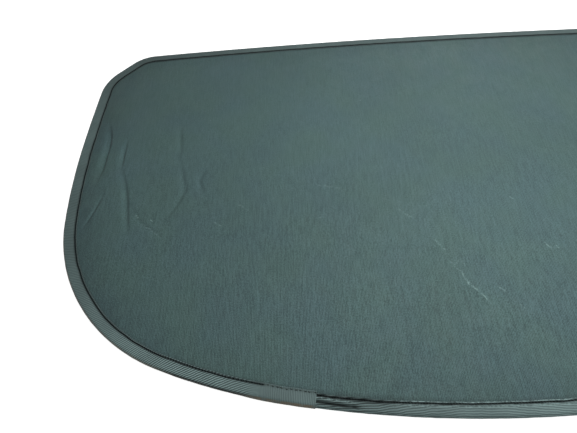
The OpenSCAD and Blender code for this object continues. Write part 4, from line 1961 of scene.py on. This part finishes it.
@dataclass
class Corners:
    """All four corners: patches, straps and their stitches.

    Attributes:
        levels: Heights from the frame.
        webbing: Finish of the straps.
        coating: Finish of the patches.
        stitch: The stitches that hold the straps.
    """

    levels: Levels
    webbing: Webbing = Webbing()
    coating: CoatedPatch = CoatedPatch()
    stitch: Stitch = Stitch(
        TwistedThread("strap_thread", (0.17, 0.205, 0.20), 0.5),
        length=2.5 * MM,
        radius=0.27 * MM,
        crown=0.14 * MM,
    )

    def build(self) -> list[bpy.types.Object]:
        """Makes a patch and a strap for each corner, and one group of stitches for them all.

        Returns:
            The pieces.
        """
        webbing, coating = self.webbing.make(), self.coating.make()
        fittings = [CornerFittings(corner, self.levels) for corner in Corner]
        pieces = []
        for fitting in fittings:
            name = fitting.corner.value
            strap = fitting.strap().show(f"strap_{name}", "webbing", webbing, crisp=60)
            patch = fitting.patch().show(f"patch_{name}", "patch_cloth", coating, crisp=50)
            pieces += [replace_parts(strap, f"tab_{name}"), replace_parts(patch, "corner_patches")]
        boxes = Shape.joined([fitting.stitches(self.stitch) for fitting in fittings])
        box = boxes.show("strap_stitches", "tab_thread", self.stitch.thread.make())
        return [*pieces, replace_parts(box, "tab_threads")]


@dataclass
class Hardware:
    """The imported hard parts, which keep their shape and get their finishes and softened edges.

    Attributes:
        moulding: Finish of the hooks.
        bar: Finish of the hook bars.
        gate: Finish of the gates.
        pin: Finish of the gate pins.
        wire: Finish of the hoop.
        sleeve: Finish of the hoop's sleeve.
    """

    moulding: MouldedPlastic = MouldedPlastic()
    bar: Metal = Metal("bar_steel", (0.44, 0.45, 0.46), 0.32)
    gate: Metal = Metal("gate_strip", (0.38, 0.39, 0.41), 0.28, (1, 1, 0.1))
    pin: Metal = Metal("pin_steel", (0.48, 0.49, 0.50), 0.28)
    wire: Metal = Metal("hoop_wire", (0.42, 0.43, 0.44), 0.38)
    sleeve: Metal = Metal("sleeve_metal_satin", (0.62, 0.63, 0.64), 0.34)

    def dress(self) -> None:
        """Gives every hard part its finish."""
        finishes = {
            "hook": (self.moulding.make(), 0.35 * MM),
            "hook_bar": (self.bar.make(), 0.15 * MM),
            "gate": (self.gate.make(), 0.12 * MM),
            "gate_pin": (self.pin.make(), 0.12 * MM),
        }
        for corner in Corner:
            for kind, (material, edge) in finishes.items():
                self._finish(f"{kind}_{corner.value}", material, edge)
        self._finish("hoop_rod", self.wire.make(), 0.0)
        self._finish("hoop_sleeve", self.sleeve.make(), 0.0)

    @staticmethod
    def _finish(node: str, material: bpy.types.Material, edge: float) -> None:
        """Puts one material on a node, and rounds its edges.

        Args:
            node: The node's name.
            material: The material.
            edge: Width of the rounding, or 0 for none.

        Raises:
            ValueError: If the node has no material slot.
        """
        part = frame["nodes"][node]
        for slot in part.material_slots:
            slot.material = material
        if not part.material_slots:
            raise ValueError(f"{node} has no material slot")
        if edge:
            soften = part.modifiers.new("soften", "BEVEL")
            soften.width, soften.segments = edge, 3
            soften.limit_method, soften.angle_limit = "ANGLE", math.radians(38)
            soften.harden_normals = True
        LOG.info("%s dressed in %s", node, material.name)


# ---- Studio ----


@dataclass(frozen=True)
class Lamp:
    """A square soft light.

    Attributes:
        name: Its name.
        place: Where it stands.
        aim: Where it points.
        size: Length of its sides.
        power: Its power in watts.
        spread: Angle of its beam in degrees.
    """

    name: str
    place: tuple[float, float, float]
    aim: tuple[float, float, float]
    size: float
    power: float
    spread: float = 180.0

    def add(self) -> None:
        """Puts the light in the scene."""
        data = bpy.data.lights.new(self.name, "AREA")
        data.shape, data.size, data.energy = "SQUARE", self.size, self.power
        data.spread = math.radians(self.spread)
        lamp = placed(self.name, data)
        lamp.location = self.place
        lamp.rotation_euler = (Vector(self.aim) - Vector(self.place)).to_track_quat("-Z", "Y").to_euler()
        lamp.visible_camera = False


@dataclass(frozen=True)
class Viewpoint:
    """Where the camera stands and how it is turned.

    Attributes:
        place: Its place.
        swing: How far it is turned to the left of +Y, in degrees.
        pitch: How far it looks down, in degrees.
        roll: How far it is rolled, in degrees.
        lens: Focal length in millimetres, on a sensor 36 mm wide.
    """

    place: tuple[float, float, float] = (-0.20655, -0.37788, 0.52155)
    swing: float = 4.533
    pitch: float = 57.992
    roll: float = 6.277
    lens: float = 27.39

    def add(self) -> None:
        """Makes the camera and hands it to the scene."""
        swing, pitch, roll = (math.radians(a) for a in (self.swing, self.pitch, self.roll))
        ahead = Vector((-math.sin(swing), math.cos(swing), 0))
        right = Vector((math.cos(swing), math.sin(swing), 0))
        sight = math.cos(pitch) * ahead - math.sin(pitch) * Vector((0, 0, 1))
        down = sight.cross(right)
        x = math.cos(roll) * right + math.sin(roll) * down
        y = -(math.cos(roll) * down - math.sin(roll) * right)
        data = bpy.data.cameras.new("camera")
        data.sensor_width, data.lens = 36, self.lens
        data.clip_start, data.clip_end = 0.01, 60
        camera = placed("camera", data)
        camera.matrix_world = Matrix((x, y, -sight)).transposed().to_4x4()
        camera.location = self.place
        bpy.context.scene.camera = camera


@dataclass
class Studio:
    """Pale floor, white surroundings, soft lights and the camera.

    Attributes:
        camera: The viewpoint.
        lamps: The soft lights.
        daylight: Strength of the even light from all round.
        floor_tone: Colour of the floor.
        floor_glow: What is added to the floor where it is looked at, so that it reads as white.
        floor_size: Length of the floor's sides.
    """

    camera: Viewpoint = Viewpoint()
    lamps: tuple[Lamp, ...] = (
        Lamp("key", (0.08, -0.02, 0.80), (0.09, -0.02, 0.0), 0.55, 3.15, 122),
        Lamp("window", (0.7, 2.0, 1.2), (0.1, 0.2, 0.0), 1.0, 9.0),
        Lamp("under_fill", (0.0, 0.0, -1.8), (0.0, 0.0, 0.0), 2.0, 32.0),
    )
    daylight: float = 0.26
    floor_tone: Colour = (0.78, 0.78, 0.78)
    floor_glow: float = 0.84
    floor_size: float = 24.0

    def build(self) -> None:
        """Sets up everything that isn't the object."""
        scene = bpy.context.scene
        scene.view_settings.view_transform = "Standard"
        self.camera.add()
        for lamp in self.lamps:
            lamp.add()
        self._surroundings()
        self._floor()

    @staticmethod
    def _looked_at(tree: bpy.types.NodeTree) -> bpy.types.NodeSocket:
        """Picks out the rays that show what is seen, directly, in a reflection or through glass.

        Args:
            tree: The nodes that ask.

        Returns:
            A socket that is 1 for such rays and 0 for the rest.
        """
        path = tree.nodes.new("ShaderNodeLightPath")
        seen = path.outputs["Is Camera Ray"]
        for name in ("Is Glossy Ray", "Is Transmission Ray"):
            add = tree.nodes.new("ShaderNodeMath")
            add.operation = "MAXIMUM"
            tree.links.new(seen, add.inputs[0])
            tree.links.new(path.outputs[name], add.inputs[1])
            seen = add.outputs[0]
        return seen

    def _surroundings(self) -> None:
        """Makes the world white to look at and softer as a light."""
        world = bpy.data.worlds.new("surroundings")
        bpy.context.scene.world = world
        world.use_nodes = True
        tree = world.node_tree
        tree.nodes.clear()
        light, white = tree.nodes.new("ShaderNodeBackground"), tree.nodes.new("ShaderNodeBackground")
        light.inputs["Strength"].default_value = self.daylight
        for node in (light, white):
            node.inputs["Color"].default_value = (1, 1, 1, 1)
        mix, end = tree.nodes.new("ShaderNodeMixShader"), tree.nodes.new("ShaderNodeOutputWorld")
        tree.links.new(self._looked_at(tree), mix.inputs["Fac"])
        tree.links.new(light.outputs[0], mix.inputs[1])
        tree.links.new(white.outputs[0], mix.inputs[2])
        tree.links.new(mix.outputs[0], end.inputs["Surface"])

    def _floor(self) -> None:
        """Makes the floor: it takes the cover's shadow, and lets light and sight through from below."""
        g = Graph("floor_white")
        g.paint(self.floor_tone, 1.0)
        g.plain(Specular_IOR_Level=0.0)
        glow = g.node("ShaderNodeEmission")
        glow.inputs["Strength"].default_value = self.floor_glow
        lit, clear = g.node("ShaderNodeAddShader"), g.node("ShaderNodeBsdfTransparent")
        g.join(g.surface.outputs["BSDF"], lit.inputs[0])
        g.join(glow.outputs[0], lit.inputs[1])
        above = g.math("SUBTRACT", 1.0, g.node("ShaderNodeNewGeometry").outputs["Backfacing"])
        shown = g.node("ShaderNodeMixShader")
        g.join(g.times(self._looked_at(g.tree), above), shown.inputs["Fac"])
        g.join(clear.outputs[0], shown.inputs[1])
        g.join(lit.outputs[0], shown.inputs[2])
        g.join(shown.outputs[0], g.end.inputs["Surface"])
        half = self.floor_size / 2
        mesh = bpy.data.meshes.new("floor")
        corners = [(-half, -half, 0), (half, -half, 0), (half, half, 0), (-half, half, 0)]
        mesh.from_pydata(corners, [], [(0, 1, 2, 3)])
        mesh.materials.append(g.material)
        floor = placed("floor", mesh)
        floor.location.z = -0.2 * MM


def main() -> None:
    """Builds the cover's pieces in order, then the studio."""
    logging.basicConfig(level=logging.INFO, format="%(name)s: %(message)s")
    Studio().build()
    outline, levels = Outline(), Levels.of_frame()
    outline.check("edge_binding")
    binding = EdgeBinding(outline, levels)
    sewn = [binding.build(), *Seams(binding).build(), *Corners(levels).build()]
    CoverSheet(outline, levels, binding).build(with_pieces=sewn)
    Hardware().dress()


if __name__ == "__main__":
    main()
